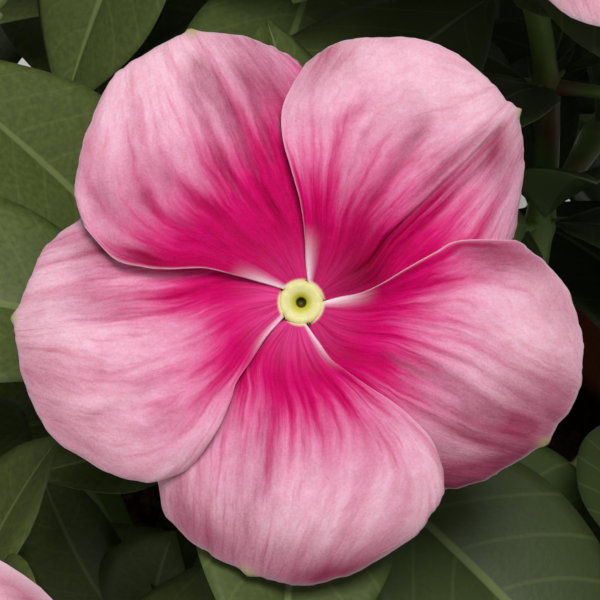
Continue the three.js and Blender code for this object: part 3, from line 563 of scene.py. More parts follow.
petalFinish = makePetalFinish()
throatFinish = makeThroatFinish()
leafFinish = makeLeafFinish()
stemFinish = makeStemFinish()
budFinish = makeBudFinish()
clayFinish = makeClayFinish()
peatFinish = makeSoilFinish("peatMix", "#1c130d", "#4a3424", 0.5)
barkFinish = makeSoilFinish("barkCrumb", "#2b1a10", "#6b4a30", 0.7)
perliteFinish = makeSoilFinish("perliteGrain", "#b9b4a8", "#efece4", 0.9)
print("finishes ready")


# Blooms

bloom = {"radius": 26, "tubeLength": 26, "pedicel": 5, "heroGrid": (108, 86), "plainGrid": (30, 24),
         "thickness": 0.34, "rimThickness": 0.12, "pointLength": 0.45, "tuck": 0.55, "throatDive": 0.9,
         "edgeLift": 1.25, "liftReach": 5, "petalRoot": 2.9, "rootLift": 0.22, "curl": 1.1, "dish": 0.5,
         "endDroop": 0.6, "rollStart": 0.72, "rimDrop": 0.16, "foldWidth": 0.022,
         "pleat": 0.14, "pleats": 13, "finePleat": 0.05, "finePleats": 34,  # depth in mm, and count across
         "blister": 0.09, "blisterSize": 2.4, "crinkle": 0.045, "crinkleSize": 0.9,
         "edgeWave": 0.4, "waveSize": 8}


def curvePoint(points, share):
    # Uniform Catmull-Rom through all points, with the end points doubled.
    spots = np.asarray(points, dtype=float)
    last = len(spots) - 1
    place = np.clip(share, 0, 1) * last
    cell = np.minimum(np.floor(place).astype(int), last)
    w = (place - cell)[..., None]
    a, b = spots[np.maximum(cell - 1, 0)], spots[cell]
    c, d = spots[np.minimum(cell + 1, last)], spots[np.minimum(cell + 2, last)]
    v0, v1 = (c - a) / 2, (d - b) / 2
    return (2 * b - 2 * c + v0 + v1) * w ** 3 + (3 * c - 3 * b - 2 * v0 - v1) * w ** 2 + v0 * w + b


def acrossProfile(values, share):
    # A smooth run through values at even steps.
    return curvePoint([(v,) for v in values], share)[..., 0]


def petalPlan(petal, across, along):
    # Where a petal's points lie seen from the front, and how far they are from the eye.
    under, over = curvePoint(petal["under"], along), curvePoint(petal["over"], along)
    outer = curvePoint(petal["end"], 1 - across)
    covered, free = np.array(petal["under"][-1]), np.array(petal["over"][-1])
    tuck = bloom["tuck"] * (1 - softStep(0.05, 0.42, along))  # the covered side runs on under its neighbour
    a, l = (across * (1 + tuck) - tuck)[..., None], along[..., None]
    flat = mix(under, over, a) + l * (outer - mix(covered, free, across[..., None]))
    return flat, np.hypot(flat[..., 0], flat[..., 1])


def petalRelief(seed, along, line, flat):
    # Pleats along the veins, fine crinkles and blisters between them, and waves towards the margin.
    x, y = flat[..., 0], flat[..., 1]
    window = softStep(0.05, 0.3, along) * (1 - 0.55 * softStep(0.75, 1, along))
    centre = 0.35 + 0.65 * hump(line, 0.3)
    pleats = waveNoise(line * bloom["pleats"] + 40 + 0.4 * waveNoise(along * 3, seed + 1), seed) * centre
    finePleats = waveNoise(line * bloom["finePleats"] + 90 + 0.3 * along, seed + 2)
    blisters = fieldNoise(x / bloom["blisterSize"] + 20, y / bloom["blisterSize"] + 20, seed + 3)
    crinkles = fieldNoise(x / bloom["crinkleSize"] + 40, y / bloom["crinkleSize"] + 40, seed + 7)
    waves = fieldNoise(x / bloom["waveSize"] + 20, y / bloom["waveSize"] + 20, seed + 4)
    fine = bloom["pleat"] * pleats + bloom["finePleat"] * finePleats + bloom["blister"] * blisters
    return window * (fine + bloom["crinkle"] * crinkles) + bloom["edgeWave"] * waves * along ** 2


def petalStand(petal, shoot, across, along, reach):
    # How a petal stands: its free edge above the covered one, crowned, dished and rolled back at its end.
    out = (reach / bloom["radius"]) ** 2
    risen = 1 - np.exp(-np.maximum(0, reach - bloom["petalRoot"]) / bloom["liftReach"])
    rise = bloom["edgeLift"] * risen + bloom["rootLift"]
    roll = acrossProfile(petal["roll"], across)
    rolled = roll * np.clip((along - bloom["rollStart"]) / (1 - bloom["rollStart"]), 0, 1) ** 2
    flared = petal["flare"] * np.exp((across - 1) / 0.1) - petal["dip"] * hump(across - 0.87, 0.08)
    return (rise * (2 * across - 1) + (shoot["cup"] - bloom["dish"]) * out - bloom["curl"] * along ** 5
            - bloom["endDroop"] * along ** 7 + petal["arch"] * np.sin(np.pi * along)
            + flared * softStep(0.2, 0.5, along) - rolled)


def petalSheet(petal, shoot, seed, grid):
    # Both faces of one petal as points in the bloom's own millimetres, with what the finish reads.
    columns, rows = grid
    across, along = np.meshgrid(np.linspace(0, 1, columns + 1), np.linspace(0, 1, rows + 1))
    flat, reach = petalPlan(petal, across, along)
    fromTip = across - petal["tip"]
    line = fromTip * (1 + 2 * along ** 3 * hump(fromTip, 0.3))  # veins draw together at the point
    point = hump(fromTip, 0.014) * softStep(0.96, 1, along)
    wobble = 0.09 * waveNoise(across * 34, seed + 5) + 0.06 * waveNoise(across * 71, seed + 6)
    outward = point * bloom["pointLength"] + wobble * softStep(0.9, 1, along)
    outward += along ** 2 * (0.12 + 0.09 * acrossProfile(petal["roll"], across))
    flat = flat * (1 + outward / np.maximum(reach, 0.1))[..., None]

    creases, shadePatches = np.zeros_like(across), np.zeros_like(across)
    for start, finish, first, last, depth in petal["folds"]:
        path = mix(start, finish, along) + 0.01 * waveNoise(along * 6, seed + round(start * 100))
        shown = softStep(first, first + 0.2, along) * (1 - softStep(last - 0.12, last, along))
        creases += depth * shown * np.exp(-np.abs((across - path) / bloom["foldWidth"]) ** 1.5)
    # Painted shade: soft mauve patches where the petal turns from the light or lies in a neighbour's shadow.
    for middle, place, wide, tall, strength in petal["shadePatches"]:
        shadePatches += strength * np.exp(-((across - middle) / wide) ** 2 - ((along - place) / tall) ** 2)
    past = reach - acrossProfile(petal["star"], across)
    toEdge = np.minimum(np.minimum(across, 1 - across) * 16, (1 - along) * 20)  # rough mm to the nearest edge
    height = petalStand(petal, shoot, across, along, reach) - creases
    height -= bloom["rimDrop"] * np.exp(-toEdge / 0.45)
    height += petalRelief(seed, along, line, flat)

    # The root row turns down into the throat.
    flat = np.concatenate([flat[:1] * 0.86, flat])
    height = np.concatenate([height[:1] - bloom["throatDive"], height])
    across, along, reach, line, toEdge, point, past, creases, shadePatches = [
        np.concatenate([field[:1], field])
        for field in (across, along, reach, line, toEdge, point, past, creases, shadePatches)]
    half = mix(bloom["rimThickness"], bloom["thickness"], 1 - np.exp(-toEdge / 0.35)) / 2
    # rim: a painted highlight along the petal edges.
    rim = 0.7 * hump(toEdge, 0.16) * softStep(3, 6, reach)
    points = np.concatenate([np.dstack([flat, height + side * half]).reshape(-1, 3) for side in (1, -1)])
    line, reach, across, along, past, creases, shadePatches, rim, point = [
        np.tile(field.ravel(), 2) for field in (line, reach, across, along, past, creases, shadePatches, rim, point)]
    even = np.ones(len(points))
    facts = {"vein": np.stack([line, reach, even * seed * 1.37], 1), "past": past, "crease": creases,
             "shadePatches": shadePatches, "place": np.stack([across, along, np.repeat([0.0, 1.0], len(points) // 2)], 1),
             "rim": rim, "point": point, "glow": even * petal["glow"]}
    return points, sheetFaces(rows + 1, columns), facts


def bloomAxes(shoot):
    # Columns: the bloom's right, up and outward directions after its spin, times its size.
    face = facing(shoot["bearing"], shoot["slope"])
    right = squareTo(facing(shoot["bearing"] + 90, 0), face)
    above = face.cross(right)
    basis = Matrix((right, above, face)).transposed() @ Matrix.Rotation(math.radians(shoot["spin"]), 3, "Z")
    return np.array(basis) * shoot["size"]


def inPlace(points, shoot):
    return np.asarray(points) @ bloomAxes(shoot).T + np.array(shoot["at"])


def makePetals(number, shoot):
    grid = bloom["heroGrid"] if number == 1 else bloom["plainGrid"]
    shape = Shape()
    for i, petal in enumerate(petals):
        points, faces, facts = petalSheet(petal, shoot, 100 * number + 10 * i, grid)
        shape.add(inPlace(points, shoot), faces, **facts)
    shape.build(f"petals_{number:02d}", [petalFinish], [f"bloom_{number:02d}_petals"])


# The throat's profile from the pit out over the cushion and down the tube: (radius, height, outside).
throat = {"sides": 60, "plainSides": 20, "notch": 0.09, "notchWidth": 0.07, "hairs": 190, "hairLength": 0.3,
          "hairRing": 1.86, "hairRadius": 0.035, "hairLift": 0.02,
          "profile": [(0.02, -1.25, 0), (0.3, -1.2, 0), (0.41, -0.9, 0), (0.46, -0.5, 0), (0.62, -0.2, 0),
                      (0.9, 0.06, 0), (1.15, 0.24, 0), (1.4, 0.36, 0), (1.62, 0.41, 0), (1.8, 0.39, 0),
                      (1.95, 0.28, 0), (2.06, 0.05, 0), (2.06, -0.3, 0), (1.9, -0.6, 0), (1.55, -1.2, 0),
                      (1.4, -2.2, 1), (1.5, -4, 1), (1.35, -5.8, 1), (1.1, -7.5, 1), (0.95, -14, 1),
                      (0.9, -20, 1), (0.9, -25.9, 1), (0.02, -26, 1)]}


def makeHairs():
    # Fine hairs round the cushion's outer edge, drawn as slim cones, for one throat at the origin.
    tree, add, given = newGeometryTree("throatHairs", Count="Int", Radius="Float", Length="Float")
    seed = (given, "Seed")
    circle = add("GeometryNodeMeshCircle", {"Vertices": (given, "Count"), "Radius": (given, "Radius")})
    stray = add("FunctionNodeRandomValue", {0: (-0.14 * mm, -0.14 * mm, -0.1 * mm),
                                            1: (0.14 * mm, 0.14 * mm, 0.06 * mm), "Seed": seed},
                data_type="FLOAT_VECTOR")
    moved = add("GeometryNodeSetPosition", {"Geometry": circle, "Offset": stray})
    spot = add("GeometryNodeInputPosition")
    outward = add("VectorMath", {0: spot}, operation="NORMALIZE")
    lean = add("FunctionNodeRandomValue", {0: (-0.5, -0.5, 0.15), 1: (0.5, 0.5, 0.9), "Seed": seed},
               data_type="FLOAT_VECTOR")
    way = add("VectorMath", {0: outward, 1: lean}, operation="ADD")
    turn = add("FunctionNodeAlignRotationToVector", {"Vector": way}, axis="Z")
    hair = add("GeometryNodeMeshCone", {"Vertices": 3, "Radius Top": 0.0, "Depth": (given, "Length"),
                                        "Radius Bottom": throat["hairRadius"] * mm})
    size = add("FunctionNodeRandomValue", {2: 0.5, 3: 1.2, "Seed": seed}, data_type="FLOAT")
    placed = add("GeometryNodeInstanceOnPoints", {"Points": moved, "Instance": hair, "Rotation": turn,
                                                  "Scale": (size, 1)})
    real = add("GeometryNodeRealizeInstances", {"Geometry": placed})
    finish = add("GeometryNodeSetMaterial", {"Geometry": real, "Material": (given, "Finish")})
    add("NodeGroupOutput", {"Geometry": finish})
    holder = bpy.data.objects.new("throatHairs", bpy.data.meshes.new("throatHairs"))
    return evaluated(holder, tree, {"Count": throat["hairs"], "Radius": throat["hairRing"] * mm, "Seed": 7,
                                    "Length": throat["hairLength"] * mm, "Finish": throatFinish})


hairMesh = makeHairs()
hairPoints = np.array([v.co[:] for v in hairMesh.vertices]) / mm
hairFaces = [tuple(p.vertices) for p in hairMesh.polygons]


def makeThroat(number, shoot):
    sides = throat["sides"] if number == 1 else throat["plainSides"]
    points, ring = [], []
    for radius, height, outside in throat["profile"]:
        for i in range(sides):
            turn = 2 * math.pi * i / sides
            toNotch = abs((5 * i / sides + 0.5) % 1 - 0.5)  # 0 where two petals meet
            isRim = radius > 1.3 and not outside
            notch = throat["notch"] * hump(toNotch, throat["notchWidth"]) if isRim else 0
            points.append(((radius - notch) * math.cos(turn), (radius - notch) * math.sin(turn),
                           height - notch))
            ring.append((radius, height, outside))
    rings = len(throat["profile"])
    faces = gridFaces(rings - 1, sides, closed=True)
    faces += [tuple(range(sides))[::-1], tuple((rings - 1) * sides + i for i in range(sides))]
    shape = Shape()
    shape.add(inPlace(points, shoot), [face[::-1] for face in faces], ring=ring)
    hairs = inPlace(hairPoints + (0, 0, throat["hairLift"]), shoot)
    shape.add(hairs, hairFaces, ring=[(1.8, 0, 0)] * len(hairs))
    shape.build(f"throat_{number:02d}", [throatFinish], [f"bloom_{number:02d}_tube"])


# Leafy stems

leafy = {"soilTop": 104, "rootDepth": 16, "mainRadius": 2.3, "sideRadius": 1.7, "tipRadius": 1.15,
         "knotSpan": 0.012, "knotSwell": 0.22, "forkShare": 0.3, "mainRise": 0.3, "sideRise": 0.32,
         "tipPull": 0.32, "tipLean": 50, "tipAside": 0.6, "budLean": 38,
         "leafLength": 55, "leafWidth": 25, "leafStalk": 6, "leafFold": 0.22, "fullness": 1.07,
         "thickness": 0.34, "rib": 0.75, "groove": 0.2, "quilt": 0.3, "wave": 0.55, "waves": 14,
         "edgeDrop": 0.7, "rows": 36, "youngRows": 12, "sideLeaflet": (16, 29), "leafGap": 0.06,
         "columns": [-1, -0.86, -0.68, -0.5, -0.33, -0.18, -0.07, 0, 0.07, 0.18, 0.33, 0.5, 0.68, 0.86, 1]}
leafRows = [  # pairs down a shoot: share of its line, size, slope above level in degrees, how far they arch
    {"share": 1, "size": 0.82, "slope": 4, "arch": 0.5},
    {"share": 0.87, "size": 1, "slope": 14, "arch": 0.6},
    {"share": 0.73, "size": 1.06, "slope": 12, "arch": 0.75},
    {"share": 0.58, "size": 1.04, "slope": 10, "arch": 0.85},
    {"share": 0.42, "size": 0.94, "slope": 6, "arch": 0.95},
]
attitudes = [(size, drop, turn) for size in (1, 0.84, 0.68) for drop in (0, 16, -14, 32)
             for turn in (0, 16, -16, 32, -32)]


def shootEnd(shoot):
    face = facing(shoot["bearing"], shoot["slope"])
    node = Vector(shoot["at"]) - face * (bloom["tubeLength"] * shoot["size"] + bloom["pedicel"])
    aside = squareTo(up + facing(shoot["bearing"] + 90, 0) * (leafy["tipAside"] * shoot["hand"]), face)
    lean = math.radians(leafy["tipLean"])
    return {"face": face, "node": node, "tip": face * math.cos(lean) + aside * math.sin(lean)}


def stemLine(start, heading, end, rise):
    span = (start - end["node"]).length
    return [start, start + heading * (rise * span), end["node"] - end["tip"] * (leafy["tipPull"] * span),
            end["node"]]


def linePoint(line, share):
    a, b, c, d = line
    rest = 1 - share
    return a * rest ** 3 + b * (3 * rest ** 2 * share) + c * (3 * rest * share ** 2) + d * share ** 3


def lineHeading(line, share):
    a, b, c, d = line
    rest = 1 - share
    return ((b - a) * rest ** 2 + (c - b) * (2 * rest * share) + (d - c) * share ** 2).normalized()


def leafAt(node, heading, out, form, attitude):
    size, drop, turn = attitude
    turn = math.radians(turn)
    level = out * math.cos(turn) + heading.cross(out) * math.sin(turn)
    slope = math.radians(form["slope"] - drop)
    along = level * math.cos(slope) + heading * math.sin(slope)
    return {"base": node + along * 0.35, "along": along, "normal": squareTo(heading * 0.5 + up * 0.8, along),
            "arch": form["arch"], "stalk": form["stalk"] * size, "length": form["length"] * size,
            "width": form["width"] * size}


def leafSpot(leaf, t):
    run = leaf["stalk"] + leaf["length"]
    along, normal, arch = leaf["along"], leaf["normal"], leaf["arch"]
    middle = leaf["base"] + along * (run * (t - arch ** 2 * t ** 3 / 6)) - normal * (run * arch * t * t / 2)
    heading = (along * (1 - arch ** 2 * t * t / 2) - normal * (arch * t)).normalized()
    side = normal.cross(along)
    return middle, heading, side, heading.cross(side)


def addLeaf(shape, leaf, seed, rows, columns):
    # A blade of two faces with a sunken midrib, puffed panels between the side veins and a waved
    # margin, on a slim stalk.
    run = leaf["stalk"] + leaf["length"]
    detail = leaf["length"] / leafy["leafLength"]
    upper, lower, blade = [], [], []
    for j in range(rows + 1):
        share = j / rows
        middle, _, side, above = leafSpot(leaf, (leaf["stalk"] + share * leaf["length"]) / run)
        full = max(0.045, math.sin(math.pi * share ** 1.12) ** 0.8 if 0 < share < 1 else 0)
        half = leafy["fullness"] * leaf["width"] / 2 * full
        for u in columns:
            out = abs(u)
            panel = abs(math.sin(math.pi * leafLook["veinPairs"]
                                 * (share - leafLook["veinCurve"] * out ** leafLook["veinBend"]))) ** 0.6
            puff = leafy["quilt"] * detail * panel * math.sin(math.pi * min(1, out * 1.05)) ** 0.7 * full
            margin = (leafy["wave"] * math.sin(share * leafy["waves"] + seed * 1.7 + (u > 0) * 1.9) * out ** 3
                      - leafy["edgeDrop"] * out ** 5)
            groove = leafy["groove"] * hump(u * half, 0.5)
            height = leafy["leafFold"] * half * out + puff + detail * margin * full - groove
            place = middle + side * (half * u) + above * height
            rib = leafy["rib"] * detail * hump(u * half, 0.55) * (1 - 0.7 * share)
            skin = leafy["thickness"] / 2 * (0.45 + 0.55 * (1 - out ** 6))
            upper.append(place + above * skin)
            lower.append(place - above * (skin + rib))
            blade.append((u, share, seed))
    shape.add([tuple(p) for p in upper + lower], sheetFaces(rows, len(columns) - 1), 0, blade=blade + blade,
              back=np.repeat([0.0, 1.0], len(upper)))
    spots = [leafSpot(leaf, share * leaf["stalk"] / run) for share in (0, 0.4, 0.8, 1.15)]
    radii = [thick * detail for thick in (0.95, 0.72, 0.68, 0.5)]
    shape.add(*closedTube([m for m, *_ in spots], [h for _, h, *_ in spots], radii, 8, spots[0][3]), 1)


def addCalyx(shape, node, face):
    # Flower stalk, small green cup and five slim teeth that stand away from the tube.
    start = up + face
    cup = node + face * (bloom["pedicel"] - 0.3)
    profile = [(-bloom["pedicel"], 0.62), (-3.4, 0.6), (-1.2, 0.95), (-0.6, 1.5), (0, 1.62), (0.35, 1.3)]
    shape.add(*closedTube([cup + face * rise for rise, _ in profile], [face] * len(profile),
                          [radius for _, radius in profile], 14, start), 1)
    right = squareTo(start, face)
    shares = (0, 0.25, 0.5, 0.75, 1)
    wide = np.abs(np.cos(np.arange(6) * math.pi / 3)) * 0.3 + 0.16
    for i in range(5):
        turn = 2 * math.pi * i / 5
        out = right * math.cos(turn) + face.cross(right) * math.sin(turn)
        centres = [cup + face * (3.9 * s - 0.4) + out * (1.35 + 1.1 * s ** 1.6) for s in shares]
        axes = [(face * 3 + out * (1.4 * s)).normalized() for s in shares]
        radii = [wide * r for r in (1.35, 1.2, 0.9, 0.5, 0.08)]
        shape.add(*closedTube(centres, axes, radii, 6, out.cross(face)), 1)


# A closed bud: rises of its plain outline in mm with their radii, how its point furls, and the mesh.
bud = {"length": 29, "rises": [0, 10, 13, 16, 18, 20, 23, 25, 28, 29],
       "radii": [0.75, 0.8, 1.15, 1.7, 1.72, 1.6, 1.2, 0.9, 0.35, 0.05],
       "edges": 5, "twist": 0.16, "twistStart": 14, "furl": 0.2, "furlRun": (13, 19),
       "rings": 44, "sides": 30}


def budFacing(end):
    lean = math.radians(leafy["budLean"])
    return end["tip"] * math.cos(lean) - squareTo(end["face"], end["tip"]) * math.sin(lean)


def makeBud(number, end):
    # A slim tube, a swollen neck and a furled point with spiral edges.
    face = budFacing(end)
    foot = end["node"] + face * bloom["pedicel"]
    rises, sides = np.linspace(0, bud["length"], bud["rings"]), bud["sides"]
    turns = 2 * np.pi * np.arange(sides) / sides
    radii, facts = [], []
    for rise, radius in zip(rises, np.interp(rises, bud["rises"], bud["radii"])):
        twist = bud["twist"] * max(0, rise - bud["twistStart"])
        spiral = ((turns - twist) / (2 * np.pi) * bud["edges"]) % 1
        furl = softStep(*bud["furlRun"], rise) * bud["furl"]
        radii.append(radius * (1 - furl + furl * 1.4 * spiral ** 0.7))
        facts += [(rise / bud["length"], s, number) for s in spiral]
    centres = [foot + face * float(rise) for rise in rises]
    shape = Shape()
    shape.add(*closedTube(centres, [face] * len(centres), radii, sides, up + face),
              bud=facts + [(0, 1, number), (1, 1, number)])
    shape.build(f"bud_closed_{number}", [budFinish], [f"bud_{number}"])


def addStemTube(shape, line, end, startRadius, root):
    # The stem swells a little at each pair of leaves and ends between the youngest leaflets.
    steps = 64
    shares = [i / steps for i in range(steps + 1)]
    centres = [linePoint(line, s) for s in shares]
    axes = [lineHeading(line, s) for s in shares]
    radii = []
    for share in shares:
        knot = sum(hump(share - row["share"], leafy["knotSpan"]) for row in leafRows)
        radii.append(mix(startRadius, leafy["tipRadius"], share) * (1 + leafy["knotSwell"] * knot))
    if root is not None:
        depth = leafy["soilTop"] - leafy["rootDepth"]
        centres = [Vector((*root, depth)), Vector((*root, depth + 12))] + centres
        axes = [up, up] + axes
        radii = [startRadius, startRadius] + radii
    centres += [end["node"] + end["tip"] * 2, end["node"] + end["tip"] * 4]
    axes += [end["tip"], end["tip"]]
    radii += [0.8, 0.3]
    shape.add(*closedTube(centres, axes, radii, 12, Vector((1, 0.1, 0))), 1)


def addYoungLeaf(shape, base, along, guide, seed, arch, stalk, length, slimness):
    leaf = {"base": base, "along": along, "normal": squareTo(guide, along), "arch": arch, "stalk": stalk,
            "length": length, "width": length * slimness}
    addLeaf(shape, leaf, seed, leafy["youngRows"], leafy["columns"][::2])


def addTipLeaflets(shape, end, seed):
    # Two folded young leaves at the growing tip, and two smaller ones inside them.
    tip, across = end["tip"], squareTo(end["face"], end["tip"])
    for i, (turn, lean, length) in enumerate([(20, 24, 11), (200, 24, 10), (110, 12, 7), (290, 12, 6.5)]):
        turn, lean = math.radians(turn), math.radians(lean)
        out = across * math.cos(turn) + tip.cross(across) * math.sin(turn)
        along = tip * math.cos(lean) + out * math.sin(lean)
        addYoungLeaf(shape, end["node"] + tip * 1.2, along, tip, seed + i, 0.15, 1.2, length, 0.42)


def addSideLeaflets(shape, node, heading, out, seed):
    # A pair of small young leaves in the axil of a grown leaf.
    draw = drawsFor(seed + 11)
    across = heading.cross(out)
    for hand in (-1, 1):
        lean, length = math.radians(draw(25, 60)), draw(*leafy["sideLeaflet"])
        level = (out * draw(0.3, 0.8) + across * hand).normalized()
        along = heading * math.cos(lean) + level * math.sin(lean)
        addYoungLeaf(shape, node + along * 1.2, along, heading, seed + 3 + hand, draw(0.2, 0.6), 1.5,
                     length, 0.46)


def addGrownLeaf(shape, grown, node, heading, out, seed, form):
    # Tries the attitudes in the solids' order until one ends where a leaf of the solids does.
    for attitude in attitudes:
        leaf = leafAt(node, heading, out, form, attitude)
        if grown.find(leafSpot(leaf, 1)[0] * mm)[2] < leafy["leafGap"] * mm:
            addLeaf(shape, leaf, seed, leafy["rows"], leafy["columns"])
            addSideLeaflets(shape, node, heading, out, seed)
            return 1
    return 0


def makeLeafyStem(stemIndex, plan):
    name = f"stem_{stemIndex + 1}"
    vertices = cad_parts[name].data.vertices
    grown = KDTree(len(vertices))
    for i, vertex in enumerate(vertices):
        grown.insert(vertex.co, i)
    grown.balance()
    shape = Shape()
    found = 0
    start = Vector((*plan["foot"], leafy["soilTop"] + 4))
    for shootIndex, shoot in enumerate(plan["shoots"]):
        end = shootEnd(shoot)
        rows = leafRows if shootIndex else leafRows[:-1]
        if shootIndex == 0:
            line = main = stemLine(start, up, end, leafy["mainRise"])
            addStemTube(shape, line, end, leafy["mainRadius"], plan["foot"])
        else:
            fork = linePoint(main, leafy["forkShare"])
            heading = (squareTo(end["node"] - fork, up) * 0.8 + up).normalized()
            line = stemLine(fork, heading, end, leafy["sideRise"])
            addStemTube(shape, line, end, leafy["sideRadius"], None)
        addCalyx(shape, end["node"], end["face"])
        if shoot["bud"]:
            addCalyx(shape, end["node"], budFacing(end))
            budEnds.append(end)
        addTipLeaflets(shape, end, 500 + 10 * stemIndex + shootIndex)
        for rowIndex, row in enumerate(rows):
            node, heading = linePoint(line, row["share"]), lineHeading(line, row["share"])
            first = squareTo(end["face"], heading)
            for half in (0, 1):
                seed = 1 + stemIndex * 1000 + shootIndex * 100 + rowIndex * 10 + half
                draw = drawsFor(seed)
                spread = math.radians(90 * (rowIndex % 2)) + math.pi * half + draw(-0.2, 0.2)
                out = first * math.cos(spread) + heading.cross(first) * math.sin(spread)
                size = row["size"] * draw(0.88, 1.1)
                form = {"slope": row["slope"] + draw(-6, 6), "arch": row["arch"] * draw(0.8, 1.2),
                        "stalk": leafy["leafStalk"] * size, "length": leafy["leafLength"] * size,
                        "width": leafy["leafWidth"] * size}
                found += addGrownLeaf(shape, grown, node, heading, out, seed, form)
    shape.build(f"leafy_{name}", [leafFinish, stemFinish], [name])
    return found


budEnds = []
leafCount = sum(makeLeafyStem(i, plan) for i, plan in enumerate(stems))
print("leafy stems ready, leaves:", leafCount)
for i, end in enumerate(budEnds):
    makeBud(i + 1, end)
print("buds ready:", len(budEnds))
allShoots = [shoot for plan in stems for shoot in plan["shoots"]]
for i, shoot in enumerate(allShoots):
    makePetals(i + 1, shoot)
    makeThroat(i + 1, shoot)
print("blooms ready:", len(allShoots))


# Pot

pot = {"height": 118, "footRadius": 46, "neckRadius": 62, "rimRadius": 69, "wall": 5, "rimBand": 24,
       "floor": 7, "drainRadius": 4.5, "drainRing": 26, "drains": 4, "sides": 144, "sharpAngle": 35}
bandFoot = pot["height"] - pot["rimBand"]
floorRadius = mix(pot["footRadius"], pot["neckRadius"], pot["floor"] / bandFoot) - pot["wall"]


def roundedProfile(corners):
    # Each corner (radius, height, rounding) of an outline is replaced by a small arc.
    outline = []
    spots = [np.array(corner[:2], dtype=float) for corner in corners]
    for i, (corner, (_, _, rounding)) in enumerate(zip(spots, corners)):
        if rounding == 0:
            outline.append(corner)
            continue
        before, after = spots[i - 1] - corner, spots[i + 1] - corner
        a = corner + before / np.linalg.norm(before) * rounding
        b = corner + after / np.linalg.norm(after) * rounding
        for s in np.linspace(0, 1, 6):
            outline.append(a * (1 - s) ** 2 + corner * 2 * s * (1 - s) + b * s ** 2)
    return outline


def makePot():
    inside = pot["drainRing"] + 8
    outline = roundedProfile([(inside, 0, 0), (pot["footRadius"], 0, 2.2),
                              (pot["neckRadius"], bandFoot - 1, 1.2),
                              (pot["rimRadius"] - 2.6, bandFoot - 0.2, 2.4),
                              (pot["rimRadius"] - 1, pot["height"] - 1.5, 1.2),
                              (pot["rimRadius"] - 1.4, pot["height"], 1.6),
                              (pot["rimRadius"] - pot["wall"] - 0.6, pot["height"], 2.2),
                              (pot["neckRadius"] - pot["wall"], bandFoot, 3),
                              (floorRadius, pot["floor"], 2.5), (inside, pot["floor"], 0)])
    points = [point for radius, height in outline for point in ringPoints(radius, height, pot["sides"])]
    shape = Shape()
    shape.add(*closeRings(points, pot["sides"], ((0, 0, outline[0][1]), (0, 0, outline[-1][1]))))
    piece = shape.build("clay_pot", [clayFinish], ["pot"])
    cutters = []
    for i in range(pot["drains"]):
        turn = math.radians(45) + 2 * math.pi * i / pot["drains"]
        spot = (pot["drainRing"] * math.cos(turn) * mm, pot["drainRing"] * math.sin(turn) * mm, 0)
        bpy.ops.mesh.primitive_cylinder_add(vertices=32, radius=pot["drainRadius"] * mm,
                                            depth=3 * pot["floor"] * mm, location=spot)
        cutters.append(bpy.context.object)
        cut = piece.modifiers.new("drain", "BOOLEAN")
        cut.object = cutters[-1]
        cut.operation = "DIFFERENCE"
        cut.solver = "MANIFOLD"
    graph = bpy.context.evaluated_depsgraph_get()
    drained = bpy.data.meshes.new_from_object(piece.evaluated_get(graph))
    piece.modifiers.clear()
    piece.data = drained
    for cutter in cutters:
        bpy.data.objects.remove(cutter)
    drained.polygons.foreach_set("use_smooth", [True] * len(drained.polygons))
    drained.set_sharp_from_angle(angle=math.radians(pot["sharpAngle"]))


makePot()
print("pot ready")


# Soil

soil = {"top": 104, "mound": 3.5, "slack": 0.7, "rings": 46, "turns": 110, "jitter": 0.35, "lump": 1.1,
        "crumbs": 2600, "perlite": 150}


def soilHeight(x, y):
    mound = soil["mound"] * (1 - (x * x + y * y) / 3200)
    swell = 0.9 * math.sin(x * 0.31 + 1) * math.cos(y * 0.27)
    return soil["top"] + mound + swell + 0.6 * math.sin(x * 0.13 - y * 0.4)


def scatterTree():
    # Crumbs strewn over a surface: points drawn by a seed, a rough lump on each, turned and sized.
    tree, add, given = newGeometryTree("soilCrumbs", Density="Float", Smallest="Float", Largest="Float")
    seed = (given, "Seed")
    spots = add("GeometryNodeDistributePointsOnFaces", {"Mesh": (given, "Geometry"),
                                                        "Density": (given, "Density"), "Seed": seed})
    lump = add("GeometryNodeMeshIcoSphere", {"Radius": 1.0, "Subdivisions": 1})
    turn = add("FunctionNodeRandomValue", {0: (0.0, 0.0, 0.0), 1: (6.28, 6.28, 6.28), "Seed": seed},
               data_type="FLOAT_VECTOR")
    flat = add("FunctionNodeRandomValue", {0: (0.6, 0.6, 0.4), 1: (1.3, 1.0, 0.8), "Seed": seed},
               data_type="FLOAT_VECTOR")
    size = add("FunctionNodeRandomValue", {2: (given, "Smallest"), 3: (given, "Largest"), "Seed": seed},
               data_type="FLOAT")
    scale = add("VectorMath", {0: flat, "Scale": (size, 1)}, operation="SCALE")
    placed = add("GeometryNodeInstanceOnPoints", {"Points": spots, "Instance": lump, "Rotation": turn,
                                                  "Scale": scale})
    real = add("GeometryNodeRealizeInstances", {"Geometry": placed})
    rough = add("TexNoise", {"Scale": 0.6 / mm, "Detail": 1.0})
    centred = add("VectorMath", {0: (rough, 1), 1: (0.5, 0.5, 0.5)}, operation="SUBTRACT")
    push = add("VectorMath", {0: centred, "Scale": soil["lump"] * mm}, operation="SCALE")
    uneven = add("GeometryNodeSetPosition", {"Geometry": real, "Offset": push})
    finish = add("GeometryNodeSetMaterial", {"Geometry": uneven, "Material": (given, "Finish")})
    add("NodeGroupOutput", {"Geometry": finish})
    return tree


